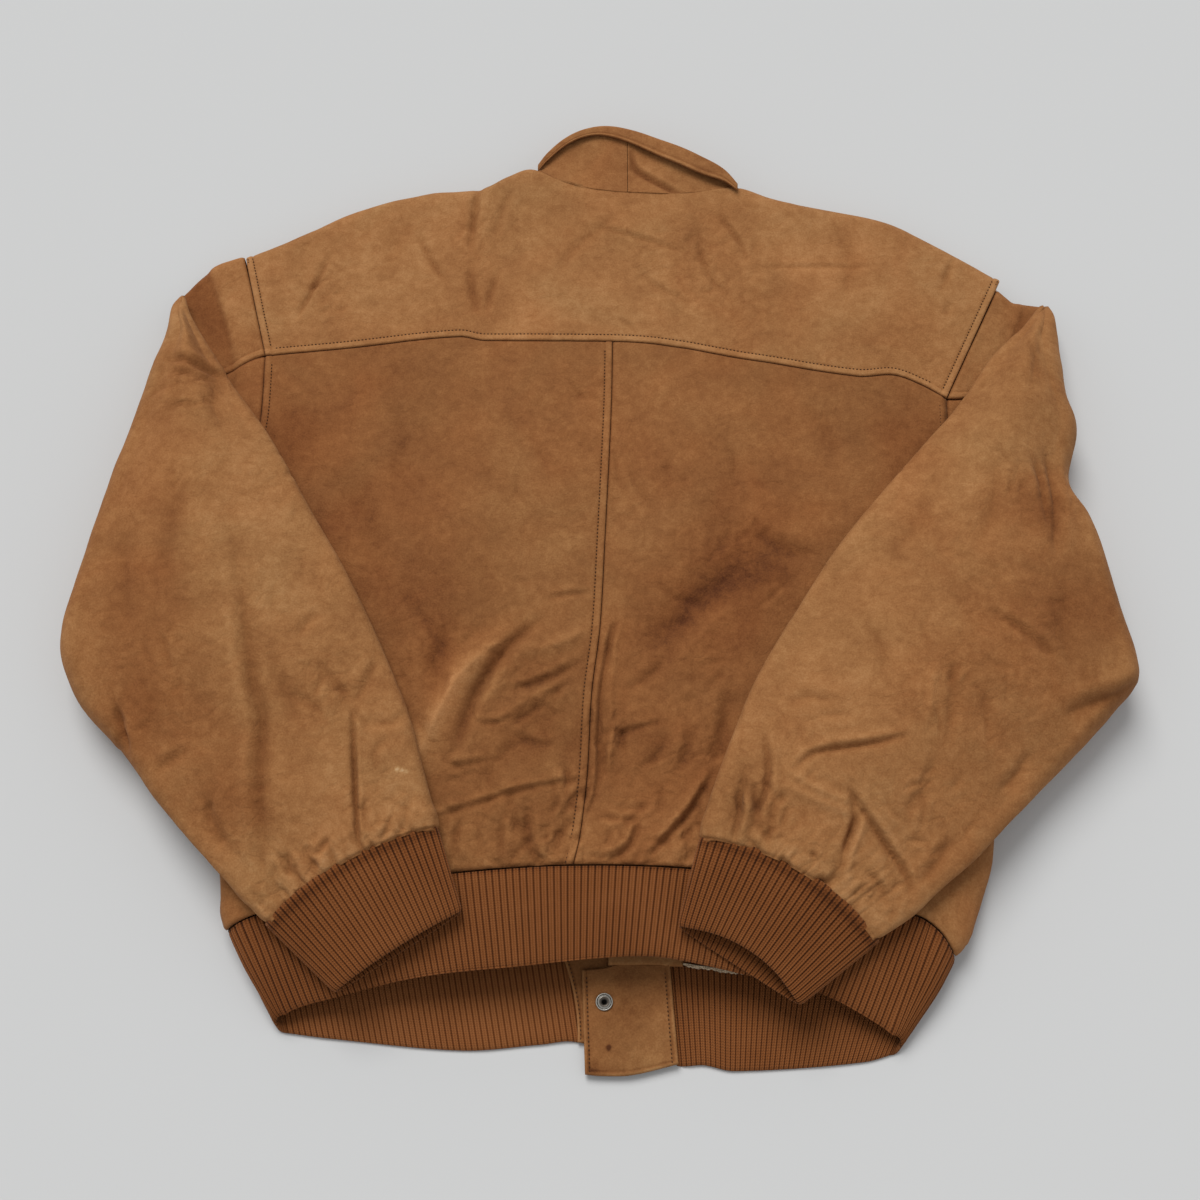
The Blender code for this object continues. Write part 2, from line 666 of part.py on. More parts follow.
# ---------------------------------------------------------------- sleeves and cuffs
def sleeve_surface(stations, cuff):
    """A function of how far round the section and how far down the sleeve a point is."""
    rows = smooth(stations)
    (ax, ay), (bx, by) = cuff["seam"]
    across = Vector((bx - ax, by - ay)).normalized()
    bow_way = Vector((-across.y, across.x)) if ax < bx else Vector((across.y, -across.x))

    def place(u, t):
        outer_x, outer_y, inner_x, inner_y, base, outer_high, crown, edge_high, run = rows(t)
        outer, inner = Vector((outer_x, outer_y)), Vector((inner_x, inner_y))
        width = (inner - outer).length
        way = (inner - outer) / width
        round_out = min(OUTER_RADIUS, 0.4 * width)
        round_in = min(EDGE_RADIUS, 0.3 * width)

        def at(distance, z):
            share = min(max(distance / width, 0), 1)
            bow = cuff["bow"] * 4 * share * (1 - share) * max(share_of(t, BOW_FROM, 1), 0) ** 2
            spot = outer + way * distance + bow_way * bow
            return spot.x, spot.y, z

        rest = outer + way * (width - round_in)
        inner_base = height(rest.x, rest.y) + LIE
        inner_high = inner_base + edge_high
        if u < ROLL_AT:
            x, y, _ = at(round_out + run * (1 - u / ROLL_AT), base)
            return x, y, max(base, height(x, y) + LIE) if base > PUFF_EDGE else base
        if u < TOP_AT:
            angle = pi * (1 - share_of(u, ROLL_AT, TOP_AT))
            return at(round_out * (1 - sin(angle)), base + (outer_high - base) / 2 * (1 + cos(angle)))
        if u < INNER_AT:
            share = share_of(u, TOP_AT, INNER_AT)
            rise = crown - (outer_high + inner_high) / 2
            z = mix(outer_high, inner_high, share) + rise * sin(pi * share)
            return at(mix(round_out, width - round_in, share), z)
        if u < TUCK_AT:
            angle = pi * share_of(u, INNER_AT, TUCK_AT)
            z = inner_base + edge_high / 2 * (1 + cos(angle))
            return at(width - round_in + round_in * sin(angle), z)
        x, y, _ = at(width - round_in - share_of(u, TUCK_AT, 1) * min(TUCK, 0.3 * width), 0)
        return x, y, max(height(x, y) + LIE, inner_base - 2)

    return place


SLEEVE_COLUMNS, SLEEVE_ROWS = 20, 12


def build_sleeve(side, stations, cuff):
    word = "left" if side < 0 else "right"
    surface = sleeve_surface(stations, cuff)
    name = f"sleeve_{word}_front"
    wall(name, SLEEVE_COLUMNS, SLEEVE_ROWS, lambda u, v: surface(u, 1 - v), SUEDE, turned=side > 0)

    def top(u, v):
        x, y, z = surface(mix(*SLEEVE_FILLING["round"], u), mix(*SLEEVE_FILLING["down"], 1 - v))
        return x, y, mix(bottom(x, y) + LEAST_FILLING, z - LEATHER - 2 * LIE, filled_out(u) * filled_out(v))

    def bottom(x, y):
        share = 0 if side < 0 else 1
        fraction = min(max(share_of(y, back_y(share, 0), back_y(share, 1)), 0), 1)
        edge = abs(side_edge(side, fraction)[0])
        beyond = min(max(share_of(side * x - edge, PAST_BODY[1], PAST_BODY[0]), 0), 1)
        return mix(LEATHER + LIE, height(x, y) + 2 * LIE + LEATHER, beyond)

    filling(f"inner_sleeve_{word}", 8, 8, top, bottom, INSIDE)


SHOULDER_COLUMNS = 6
HIDDEN_FROM = 0.8  # the sleeve's back panel starts at this fraction of the back's length


def build_shoulder(side, lines):
    word = "left" if side < 0 else "right"
    top, seam = line_through(lines["top"]), line_through(lines["seam"])
    outward, armhole = line_through(lines["outward"]), line_through([lines["seam"][0], lines["top"][0]])
    under = line_through(lines["under"])
    (seam_x, seam_y), (top_x, top_y) = lines["seam"][0], lines["top"][0]
    slope = (top_x - seam_x) / (top_y - seam_y)

    def patch(a, b):
        """A point between the four lines: a across from the armhole, b up from the seam."""
        sides = mix(armhole(b), outward(b), a)
        ends = mix(seam(a), top(a), b)
        low = mix(lines["seam"][0], lines["seam"][-1], a)
        high = mix(lines["top"][0], lines["top"][-1], a)
        return [s + e - c for s, e, c in zip(sides, ends, mix(low, high, b))]

    def lie(x, y, a):
        valley = max(1 - ((a - lines["valley"]) / 0.34) ** 2, 0) ** 2
        return height(x, y) - VALLEY_DEEP * valley - 3 * a

    def cap(u, v):
        a = 1 - u if side < 0 else u
        rim = 0.5
        reach = (Vector(top(a)) - Vector(seam(a))).length
        x, y = patch(a, min(v / rim, 1) * (1 - CAP_RADIUS / reach))
        high = lie(x, y, a)
        x += side * CAP_CLEAR * (1 - a) * min(max(share_of(v, 0.25, rim), 0), 1)
        if v <= rim:
            return x, y, high
        out, z = rolled(share_of(v, rim, 1) * (roll_length(high, CAP_RADIUS) + 6), high, CAP_RADIUS)
        return x + slope * out * (1 - a), y + out, z

    def back(u, v):
        a = 1 - u if side < 0 else u
        x, y = mix(under(a), seam(a), v)
        if a < 0.01:
            fraction = mix(HIDDEN_FROM, 1, v)
            x = side_edge(side, fraction)[0] + side * 2 * SEAM
            y = back_y(0 if side < 0 else 1, fraction)
        return x, y - SEAM * v, lie(x, y, a)

    wall(f"sleeve_{word}_shoulder", SHOULDER_COLUMNS, 8, cap, SUEDE)
    wall(f"sleeve_{word}_back", SHOULDER_COLUMNS, 2, back, SUEDE_DARK)


def lying(x, y):
    """Height of what a cuff lies on: the back down to its hem seam, then the waistband."""
    seam = hem_seam(x)
    share = min(max(share_of(y, seam, waist_edge(x)), 0), 1)
    return mix(height(x, max(y, seam)), mouth(x), share)


def build_cuff(side, cuff):
    word = "left" if side < 0 else "right"
    (ax, ay), (bx, by) = cuff["seam"]
    across = Vector((bx - ax, by - ay)).normalized()
    bow_way = Vector((-across.y, across.x)) * (1 if ax < bx else -1)

    def place(u, v):
        one, two = (Vector(mix(a, b, v)) for a, b in zip(cuff["opening"], cuff["seam"]))
        angle = 2 * pi * u
        wide = (abs(cos(angle)) ** 0.7) * (1 if cos(angle) > 0 else -1)
        tall = (abs(sin(angle)) ** 0.7) * (1 if sin(angle) > 0 else -1)
        share = 0.5 - 0.5 * wide
        spot = one.lerp(two, share) + bow_way * cuff["bow"] * 4 * share * (1 - share) * v**2
        return spot.x, spot.y, lying(*spot) + 2 * LIE + CUFF_DEEP / 2 * (1 + tall)

    bm = laid_grid(20, 3, place)
    bmesh.ops.remove_doubles(bm, verts=bm.verts, dist=1e-5)
    if side > 0:
        bmesh.ops.reverse_faces(bm, faces=bm.faces)
    finish_wall(bm, f"cuff_{word}", KNIT, RIB)


# ---------------------------------------------------------------- collar
def neckline(x):
    """The top edge of the fronts, straight between their columns."""
    low = CENTRE_FRONT + NECK_STEP * floor((x - CENTRE_FRONT) / NECK_STEP)
    return mix(front_top(low), front_top(low + NECK_STEP), (x - low) / NECK_STEP)


def build_collar():
    def upper(u, v):
        x = COLLAR_COLUMNS[round(u * (len(COLLAR_COLUMNS) - 1))]
        outline, over, high = collar_line(x)
        inner = outline - COLLAR_RADIUS
        if v <= 1 / 3:
            return x, mix(neckline(x) + SEAM, inner, v * 3), 0
        if v <= 8 / 9:
            angle = pi * (1 - share_of(v, 1 / 3, 8 / 9))
            return x, inner + COLLAR_RADIUS * sin(angle), high / 2 * (1 + cos(angle))
        return x, inner - over * share_of(v, 8 / 9, 1), high

    def under(from_x, to_x):
        def place(u, v):
            x = mix(from_x, to_x, u)
            outline, _, high = collar_line(x)
            neck = top_edge(x)[0] + 3 * SEAM
            low = (neck, height(x, neck))
            up = (max(outline - COLLAR_RADIUS - 1, neck + 2), high - LEATHER - 2 * LIE)
            y, z = mix(low, up, v)
            return x, y, z - 2 * sin(pi * v)

        return place

    wall("collar_upper", len(COLLAR_COLUMNS) - 1, 9, upper, SUEDE, turned=True)
    wall("collar_under_left", 5, 3, under(COLLAR_COLUMNS[0] + 6, COLLAR_CENTRE - SEAM / 2), SUEDE)
    wall("collar_under_right", 5, 3, under(COLLAR_CENTRE + SEAM / 2, COLLAR_COLUMNS[-1] - 9), SUEDE)


# ---------------------------------------------------------------- what the body hides
def build_inner_body():
    def top(u, v):
        x = mix(*BODY_FILLING["x"], u)
        y = mix(BODY_FILLING["low y"], top_edge(x)[0] - BODY_FILLING["under the top edge"], v)
        full = height(x, y) - LEATHER - LIE
        return x, y, mix(LEATHER + LIE + LEAST_FILLING, full, filled_out(u) * filled_out(v))

    filling("inner_body", 10, 10, top, lambda x, y: LEATHER + LIE, INSIDE)


# ---------------------------------------------------------------- the jacket
for old in list(bpy.data.objects):
    bpy.data.objects.remove(old, do_unlink=True)

build_backs()
build_yoke()
build_fronts()
build_waistband()
build_tabs()
for wearer_side, sleeve, shoulder, cuff_ends in (
    (-1, SLEEVE_LEFT, SHOULDER_LEFT, CUFF_LEFT),
    (1, SLEEVE_RIGHT, SHOULDER_RIGHT, CUFF_RIGHT),
):
    build_sleeve(wearer_side, sleeve, cuff_ends)
    build_shoulder(wearer_side, shoulder)
    build_cuff(wearer_side, cuff_ends)
build_collar()
build_inner_body()
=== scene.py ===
"""A worn leather blouson jacket, lying face down with both sleeves folded over its back.

The script goes through the jacket as it is put together: back panels and yoke, fronts, waistband, tabs,
sleeves, cuffs, collar, and the layers that they hide. Sizes are in millimetres, with +X to the wearer's
right and +Y towards the collar, and the jacket rests on Z = 0.
"""

from math import cos, pi, radians, sin

import bmesh
import bpy
import numpy as np
from mathutils import Matrix, Vector


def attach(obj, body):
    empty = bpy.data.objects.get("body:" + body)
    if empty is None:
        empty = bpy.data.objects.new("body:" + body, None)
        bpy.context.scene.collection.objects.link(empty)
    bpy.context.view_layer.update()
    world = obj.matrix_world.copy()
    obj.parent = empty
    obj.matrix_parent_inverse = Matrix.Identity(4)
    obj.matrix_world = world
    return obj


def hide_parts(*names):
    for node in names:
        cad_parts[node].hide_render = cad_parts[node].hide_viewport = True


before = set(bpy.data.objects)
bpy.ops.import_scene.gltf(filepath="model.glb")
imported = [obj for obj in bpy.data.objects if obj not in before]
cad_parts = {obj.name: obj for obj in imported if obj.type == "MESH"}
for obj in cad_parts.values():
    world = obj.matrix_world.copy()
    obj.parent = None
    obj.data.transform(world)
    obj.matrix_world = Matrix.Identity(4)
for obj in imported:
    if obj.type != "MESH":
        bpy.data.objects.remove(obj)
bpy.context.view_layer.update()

# ---------------------------------------------------------------- floor, light and camera
# The jacket lies on a plain pale floor, under one broad lamp beyond its collar and an even sky. It is
# seen from above its hem.
FLOOR_COLOUR = (0.60, 0.60, 0.595)
FLOOR_HALF = 4.0  # metres
FLOOR_BELOW = 0.0003  # metres under the jacket, so that they share no face
VIEW_CENTRE = (0.002, -0.032, 0.0)
VIEW_DISTANCE = 1.29
VIEW_HEIGHT = radians(70)
LAMP_FROM = (-0.22, 0.62, 0.82)
LAMP_SPREAD = radians(34)
LAMP_POWER = 2.2
SKY_STRENGTH = 0.5
SKY_COLOUR = (0.97, 0.985, 1.0)

scene = bpy.context.scene
scene.view_settings.view_transform = "Standard"

bm = bmesh.new()
bmesh.ops.create_grid(bm, x_segments=1, y_segments=1, size=FLOOR_HALF)
bmesh.ops.translate(bm, verts=bm.verts, vec=(0, 0, -FLOOR_BELOW))
floor_mesh = bpy.data.meshes.new("floor")
bm.to_mesh(floor_mesh)
bm.free()
floor = bpy.data.objects.new("floor", floor_mesh)
scene.collection.objects.link(floor)
floor_paint = bpy.data.materials.new("pale floor")
floor_paint.use_nodes = True
floor_shader = floor_paint.node_tree.nodes["Principled BSDF"]
floor_shader.inputs["Base Color"].default_value = (*FLOOR_COLOUR, 1)
floor_shader.inputs["Roughness"].default_value = 0.9
floor_shader.inputs["Specular IOR Level"].default_value = 0.1
floor_mesh.materials.append(floor_paint)

world = bpy.data.worlds.new("even sky")
world.use_nodes = True
world.node_tree.nodes["Background"].inputs["Color"].default_value = (*SKY_COLOUR, 1)
world.node_tree.nodes["Background"].inputs["Strength"].default_value = SKY_STRENGTH
scene.world = world

lamp = bpy.data.lights.new("broad lamp", "SUN")
lamp.energy = LAMP_POWER
lamp.angle = LAMP_SPREAD
lamp_holder = bpy.data.objects.new("broad lamp", lamp)
scene.collection.objects.link(lamp_holder)
lamp_holder.rotation_euler = Vector(LAMP_FROM).to_track_quat("Z", "Y").to_euler()

camera_data = bpy.data.cameras.new("camera")
camera_data.lens = 50
camera_data.sensor_width = 36
camera = bpy.data.objects.new("camera", camera_data)
scene.collection.objects.link(camera)
camera.location = Vector(VIEW_CENTRE) + VIEW_DISTANCE * Vector((0, -cos(VIEW_HEIGHT), sin(VIEW_HEIGHT)))
camera.rotation_euler = (radians(90) - VIEW_HEIGHT, 0, 0)
scene.camera = camera

# ---------------------------------------------------------------- back panels
# Two panels of napped leather, sewn together down the centre back. The left one is turned in and
# topstitched along the seam. Both bag a little over the waistband, and the left one rolls under the side.
MM = 0.001
LEATHER = 1.9  # thickness
SEAM = 0.35  # gap at a seam
LIE = 0.8  # gap under a layer that lies on another
STITCH_IN = 5.9  # the topstitching runs this far in from a seam
EDGE_STITCH_IN = 1.9  # and a second row this far
STITCH_STEP = 2.9
THREAD = 1.0
STITCH_LONG = 0.58  # of each step is thread

PUFF_EDGE = 20.0  # height of the body at its sides and armholes
HALF_WIDTH = 300.0
SIDE_RADIUS = 16.0
SHOULDER_RADIUS = 13.0
UNDER_RUN = 11.0  # rolled edges run on under the body this far
PUFF = [  # y, height of the back
    (-380, 37),
    (-320, 38),
    (-270, 40),
    (-150, 44),
    (0, 46),
    (100, 42),
    (170, 37),
    (250, 31),
    (340, 27),
]
BACK = [  # fraction of the panels' length, left edge x, centre seam x, right edge x, how far the side rolls
    (0.00, -264, -17, 254, 1),
    (0.04, -269, -13, 266, 1),
    (0.09, -273, -10, 275, 1),
    (0.16, -282, -7, 286, 1),
    (0.30, -289, -4, 292, 1),
    (0.42, -290, 2, 292, 1),
    (0.60, -287, 6, 290, 0),
    (0.75, -274, 9, 282, 0),
    (0.87, -266, 11, 276, 0),
    (1.00, -266, 12, 277, 0),
]
HEM_SEAM = [  # x, y
    (-264, -289),
    (-244, -280),
    (-180, -262),
    (-109, -252),
    (-17, -246),
    (74, -249),
    (150, -262),
    (226, -280),
    (242, -291),
    (254, -308),
]
YOKE_SEAM = [  # x, y
    (-266, 167),
    (-198, 171),
    (-110, 179),
    (-90, 175),
    (14, 174),
    (68, 168),
    (129, 156),
    (206, 145),
    (236, 148),
    (260, 139),
    (277, 129),
]
SIDE_SEAM_IN = 36.0  # the right side seam lies this far in on top
ARMHOLE_FROM = 0.62  # the armholes start at this fraction of the panels' length

CREASE_DEPTH = 1.9  # times the depths in the tables

# Creases of the back and yoke: half width, depth (below 0 for a ridge), lip on the left of the line
# (below 0 for the right), and the line.
BACK_CREASES = [
    (11, -3.6, 0, [(-142, -190), (-126, -160), (-100, -107), (-58, -71)]),
    (5.5, 3.6, -1.2, [(-104, -164), (-89, -121), (-72, -92), (-56, -75), (-41, -63)]),
    (3.4, 1.7, 0.9, [(-67, -118), (-50, -115), (-30, -107), (-13, -97)]),
    (6, -1.8, 0, [(-54, -90), (-24, -81), (-5, -70)]),
    (7, -2.2, 0, [(-76, -144), (-50, -125), (-20, -110)]),
    (7, 1.6, 0, [(-84, -196), (-70, -168), (-44, -150)]),
    (2.4, 1.0, 0.4, [(-37, -48), (-20, -44), (-3, -43)]),
    (3, 0.8, 0, [(-62, -31), (-50, -36)]),
    (2.3, 1.1, 1.0, [(-128, -216), (-90, -204), (-66, -196), (-37, -189), (-5, -184)]),
    (2.5, 1.0, 0.5, [(-108, -175), (-94, -174), (-77, -170)]),
    (4, 2.6, 0.9, [(-49, -203), (-50, -222), (-45, -238), (-37, -249)]),
    (4, 1.9, 0.7, [(-20, -212), (-26, -226), (-33, -241)]),
    (3, 1.4, 0.5, [(-66, -206), (-69, -226), (-67, -238)]),
    (3.5, 1.2, 0.4, [(-96, -214), (-101, -232), (-100, -246)]),
    (3, 1.0, 0.5, [(-62, -150), (-48, -158), (-30, -160)]),
    (9, 2.0, -0.6, [(-112, -66), (-119, -100), (-116, -128)]),
    (6, 1.3, 0.4, [(-134, -132), (-124, -152), (-112, -170)]),
    (5, 1.1, 0, [(-150, -40), (-128, -64), (-112, -92)]),
    (2.2, 1.5, -0.9, [(11, -70), (6, -99), (3, -121), (1, -151), (2, -169), (-1, -196), (-10, -216)]),
    (2.3, 1.6, 0.8, [(14, -64), (9, -84), (8, -100)]),
    (2.2, 1.4, 0.8, [(6, -128), (8, -146), (5, -168), (6, -184)]),
    (4, -1.5, 0, [(13, -92), (9, -130), (8, -172), (4, -194)]),
    (2.3, 1.0, 0.6, [(4, -150), (21, -149), (48, -142)]),
    (15, 2.6, 0, [(112, -18), (76, -48), (48, -75), (33, -86)]),
    (11, -1.6, 0, [(100, -52), (78, -74), (60, -96)]),
    (3, 2.3, 0.9, [(8, -244), (18, -237), (25, -230), (30, -216)]),
    (2.8, 2.6, 1.5, [(36, -241), (55, -221), (68, -206), (84, -180)]),
    (3, 1.2, 0.5, [(70, -204), (74, -214), (73, -222)]),
    (2.4, 1.0, 0.4, [(12, -213), (20, -214), (31, -212)]),
    (7, 2.2, -0.8, [(97, -118), (92, -146), (86, -174)]),
    (4, 1.5, 0.6, [(56, -180), (64, -166), (70, -150)]),
    (5, 1.2, 0, [(34, -176), (46, -164), (52, -148)]),
    (7, 1.8, 0.5, [(118, 8), (144, -8), (172, -8)]),
    (4, 0.9, 0, [(40, -30), (58, -46), (84, -50)]),
    (4, 1.0, 0.3, [(20, -118), (38, -108), (52, -92)]),
    (2, 1.0, 0.4, [(-26, 142), (-13, 125), (1, 121)]),
    (3, 1.0, 0, [(-52, 81), (-44, 72), (-36, 62)]),
    (3, 0.9, 0, [(-61, 58), (-62, 34)]),
    (2.6, 1.1, 0, [(26, 62), (30, 44), (44, 23)]),
    (3, 1.0, 0, [(54, 64), (53, 42)]),
    (4, 1.0, 0, [(105, 76), (105, 40)]),
    (2, 0.7, 0, [(13, 78), (17, 42)]),
    (6, 1.0, 0, [(-160, 120), (-150, 84), (-158, 40)]),
    (6, 0.9, 0, [(164, 118), (178, 88), (176, 52)]),
    (9, 1.2, 0, [(-204, 60), (-170, 10), (-160, -30)]),
    (2.4, 1.2, 0.3, [(-4, 287), (30, 275), (68, 260)]),
    (2.6, 1.5, 0.3, [(82, 284), (84, 260), (92, 236), (104, 216)]),
    (2.4, 1.8, 0.4, [(98, 298), (110, 280), (118, 266), (122, 250)]),
    (2.4, 1.4, 0.4, [(294, 260), (289, 250), (283, 238)]),
    (3, 1.1, 0.4, [(28, 251), (46, 228), (76, 210)]),
    (2, 0.9, 0.3, [(18, 197), (32, 181)]),
    (3.4, 2.8, 0.4, [(-98, 326), (-101, 304), (-104, 262)]),
    (3.4, 1.2, 0.3, [(-72, 322), (-78, 300), (-84, 280)]),
    (4.0, 2.2, 0.3, [(-104, 244), (-101, 220), (-97, 200)]),
    (2.8, 1.5, 0.3, [(-80, 242), (-86, 220), (-90, 200)]),
    (2.4, 1.6, 0.3, [(-148, 279), (-132, 245), (-119, 228)]),
    (2.2, 0.7, 0.3, [(128, 245), (170, 246), (230, 248)]),
    (2.4, 1.9, 0.3, [(-219, 260), (-230, 230), (-243, 200)]),
    (2.4, 1.0, 0, [(293, 252), (286, 240), (278, 229)]),
    (2, 0.8, 0, [(288, 218), (282, 206)]),
    (10, 1.3, 0, [(-150, 300), (-168, 262), (-166, 226)]),
    (8, 1.2, 0, [(196, 292), (206, 250), (198, 214)]),
    (5, 1.0, 0, [(20, 300), (-20, 262), (-32, 236)]),
]
# Families of small sharp creases: x, y, reach, how many, direction in degrees, length, depth.
BACK_CRINKLES = [
    (-38, -226, 26, 16, 80, 22, 1.1),
    (-22, -190, 16, 8, 110, 22, 1.0),
    (-92, -228, 26, 9, 95, 20, 0.8),
    (-50, -118, 26, 9, 25, 26, 0.9),
    (-92, -190, 30, 8, 12, 26, 0.7),
    (10, -150, 14, 9, 80, 26, 1.1),
    (24, -226, 22, 10, 30, 22, 1.0),
    (66, -222, 22, 10, 50, 24, 1.0),
    (60, -170, 34, 10, 60, 26, 0.7),
    (60, -90, 36, 8, 40, 26, 0.6),
    (-120, -90, 26, 6, 70, 26, 0.7),
    (100, -20, 34, 7, 50, 26, 0.7),
    (40, 40, 34, 7, 60, 24, 0.5),
    (-20, 100, 34, 6, 50, 20, 0.4),
    (90, 240, 40, 9, 70, 26, 0.6),
    (-96, 270, 24, 6, 85, 24, 0.6),
    (-225, 225, 22, 5, 60, 22, 0.7),
]
CRINKLE_WIDE = 2.3
# Paler and darker places of the back: x, y, reach, tone, warmth.
BACK_PATCHES = [
    (-190, 110, 90, -0.10, 0.25),
    (-215, 20, 60, -0.10, 0.25),
    (-90, 120, 60, 0.05, 0.0),
    (-60, 60, 60, 0.06, 0.0),
    (-40, 0, 50, 0.12, -0.2),
    (-20, -60, 36, 0.10, -0.2),
    (-130, -60, 45, -0.14, 0.3),
    (-90, -112, 30, 0.12, 0.1),
    (-118, -150, 22, 0.18, -0.1),
    (-40, -140, 45, -0.16, 0.15),
    (-110, -225, 50, 0.05, -0.1),
    (-60, -225, 50, 0.06, 0.0),
    (-14, -120, 16, 0.10, -0.1),
    (-20, -180, 18, 0.12, -0.1),
    (-26, -225, 18, 0.14, -0.1),
    (60, 120, 40, 0.03, 0.0),
    (190, 90, 80, 0.02, 0.1),
    (90, 40, 60, -0.05, 0.2),
    (120, -30, 45, -0.34, 0.45),
    (60, -70, 36, -0.18, 0.35),
    (46, 14, 40, 0.18, -0.1),
    (40, -170, 60, -0.14, 0.1),
    (70, -225, 46, 0.12, 0.0),
    (30, -214, 24, 0.10, 0.0),
    # These two darken the back just beside the sleeves' inner edges, as painted shade.
    (245, 90, 34, -0.2, 0.3),
    (-250, 90, 30, -0.3, 0.3),
    (-180, 220, 60, 0.06, 0.0),
    (-95, 215, 30, -0.12, 0.15),
    (0, 240, 60, 0.0, 0.05),
    (90, 270, 40, -0.08, 0.1),
    (120, 190, 40, -0.10, 0.1),
    (220, 240, 50, 0.05, 0.0),
    (240, 180, 40, -0.12, 0.15),
    (-20, 300, 40, -0.04, 0.1),
]


def smooth(rows):
    """A function of a table's first column, which gives its other columns on smooth curves."""
    table = np.array(sorted(rows), float)
    keys, values = table[:, 0], table[:, 1:]
    slopes = np.empty_like(values)
    slopes[1:-1] = (values[2:] - values[:-2]) / (keys[2:] - keys[:-2])[:, None]
    slopes[[0, -1]] = (values[[1, -1]] - values[[0, -2]]) / (keys[[1, -1]] - keys[[0, -2]])[:, None]

    def at(key):
        key = np.clip(key, keys[0], keys[-1])
        i = np.clip(np.searchsorted(keys, key, side="right") - 1, 0, len(keys) - 2)
        span = (keys[i + 1] - keys[i])[..., None]
        f = (key - keys[i])[..., None] / span
        bend = values[i] * (2 * f**3 - 3 * f**2 + 1) + values[i + 1] * (3 * f**2 - 2 * f**3)
        bend += span * (slopes[i] * (f**3 - 2 * f**2 + f) + slopes[i + 1] * (f**3 - f**2))
        return bend[..., 0] if values.shape[1] == 1 else np.moveaxis(bend, -1, 0)

    return at


def line_through(points):
    """A smooth line through a few points, as a function of a fraction of its length."""
    steps = np.linalg.norm(np.diff(np.array(points, float), axis=0), axis=1)
    reach = np.concatenate([[0], np.cumsum(steps)]) / steps.sum()
    return smooth([(r, *point) for r, point in zip(reach, points)])


def mix(a, b, share):
    return a + (b - a) * share


def share_of(value, low, high):
    return (value - low) / (high - low)


def part_way(value, low, high):
    """How far a value has come from one number to another, kept from 0 to 1."""
    return np.clip(share_of(value, low, high), 0, 1)


def off_floor(z, clear=14):
    """0 for cloth that lies on the floor, 1 for cloth that is clear of it."""
    return part_way(z, 3, clear)


def hump(distance, wide):
    return np.exp(-((distance / wide) ** 2))


def uneven(x, y, size, seed):
    """Soft unevenness from about -1 to 1, with lumps of one size."""
    lattice = np.random.default_rng(seed).uniform(-1, 1, (64, 64))
    a, b = np.broadcast_arrays(np.asarray(x) / size, np.asarray(y) / size)
    i, j = np.floor(a).astype(int), np.floor(b).astype(int)
    f, g = a - i, b - j
    f, g = f * f * (3 - 2 * f), g * g * (3 - 2 * g)
    low = mix(lattice[i % 64, j % 64], lattice[(i + 1) % 64, j % 64], f)
    high = mix(lattice[i % 64, (j + 1) % 64], lattice[(i + 1) % 64, (j + 1) % 64], f)
    return mix(low, high, g)


def creased(x, y, creases):
    """How far the creases lift the cloth at a place."""
    lift = np.zeros(np.broadcast(x, y).shape)
    for wide, deep, lip, points in creases:
        route = np.stack(line_through(points)(np.linspace(0, 1, 4 * len(points))), -1)
        near = (np.abs(x - route[:, 0].mean()) < np.ptp(route[:, 0]) / 2 + 6 * wide) & (
            np.abs(y - route[:, 1].mean()) < np.ptp(route[:, 1]) / 2 + 6 * wide
        )
        px, py = x[near], y[near]
        far, side, along = np.full(px.shape, 1e9), np.zeros(px.shape), np.zeros(px.shape)
        lengths = np.linalg.norm(np.diff(route, axis=0), axis=1)
        for i, length in enumerate(lengths):
            (ax, ay), (dx, dy) = route[i], (route[i + 1] - route[i]) / length
            t = np.clip((px - ax) * dx + (py - ay) * dy, 0, length)
            ox, oy = px - ax - t * dx, py - ay - t * dy
            away = np.hypot(ox, oy)
            closer = away < far
            far = np.where(closer, away, far)
            side = np.where(closer, dx * oy - dy * ox, side)
            along = np.where(closer, (lengths[:i].sum() + t) / lengths.sum(), along)
        taper = np.sin(pi * np.clip(along, 0.01, 0.99)) ** 0.55
        beside = hump(far - 1.7 * wide, 1.0 * wide) * (side * lip > 0)
        valley = 0.6 * hump(far, wide) + 0.4 * np.exp(-far / max(0.5 * wide, 1.7))
        lift[near] += CREASE_DEPTH * taper * (abs(lip) * beside - deep * valley)
    return lift


def rubbed(lift):
    """Tone of creased leather: pale where it stands up, partly worn and partly painted light, and dark
    where it sinks, as painted shade in the crease.
    """
    return 0.085 * lift - 0.035 * np.clip(lift, 0, 3)


def crinkled(families, seed):
    """The small creases of some families, as rows of a table of creases."""
    chance = np.random.default_rng(seed)
    rows = []
    for x, y, reach, count, direction, length, deep in families:
        for _ in range(count):
            middle = np.array([x, y]) + reach * chance.uniform(-1, 1, 2)
            angle = radians(direction) + 0.5 * chance.normal()
            run = length * chance.uniform(0.4, 1.1) / 2 * np.array([cos(angle), sin(angle)])
            bend = 0.3 * chance.uniform(-1, 1) * run[::-1] * (1, -1)
            points = [tuple(middle - run), tuple(middle + bend), tuple(middle + run)]
            wide = CRINKLE_WIDE * chance.uniform(0.9, 1.5)
            rows.append((wide, deep * chance.uniform(0.5, 1.3), chance.choice([-0.4, 0.4]) * deep, points))
    return rows


def crumpled(x, y, families):
    """How finely crumpled a place is, from 0 to 1: most near the families of small creases."""
    share = np.zeros(np.broadcast(x, y).shape)
    for px, py, reach, _, _, _, deep in families:
        share = np.maximum(share, deep * hump(np.hypot(x - px, y - py), 1.5 * reach))
    return np.clip(share, 0, 1)


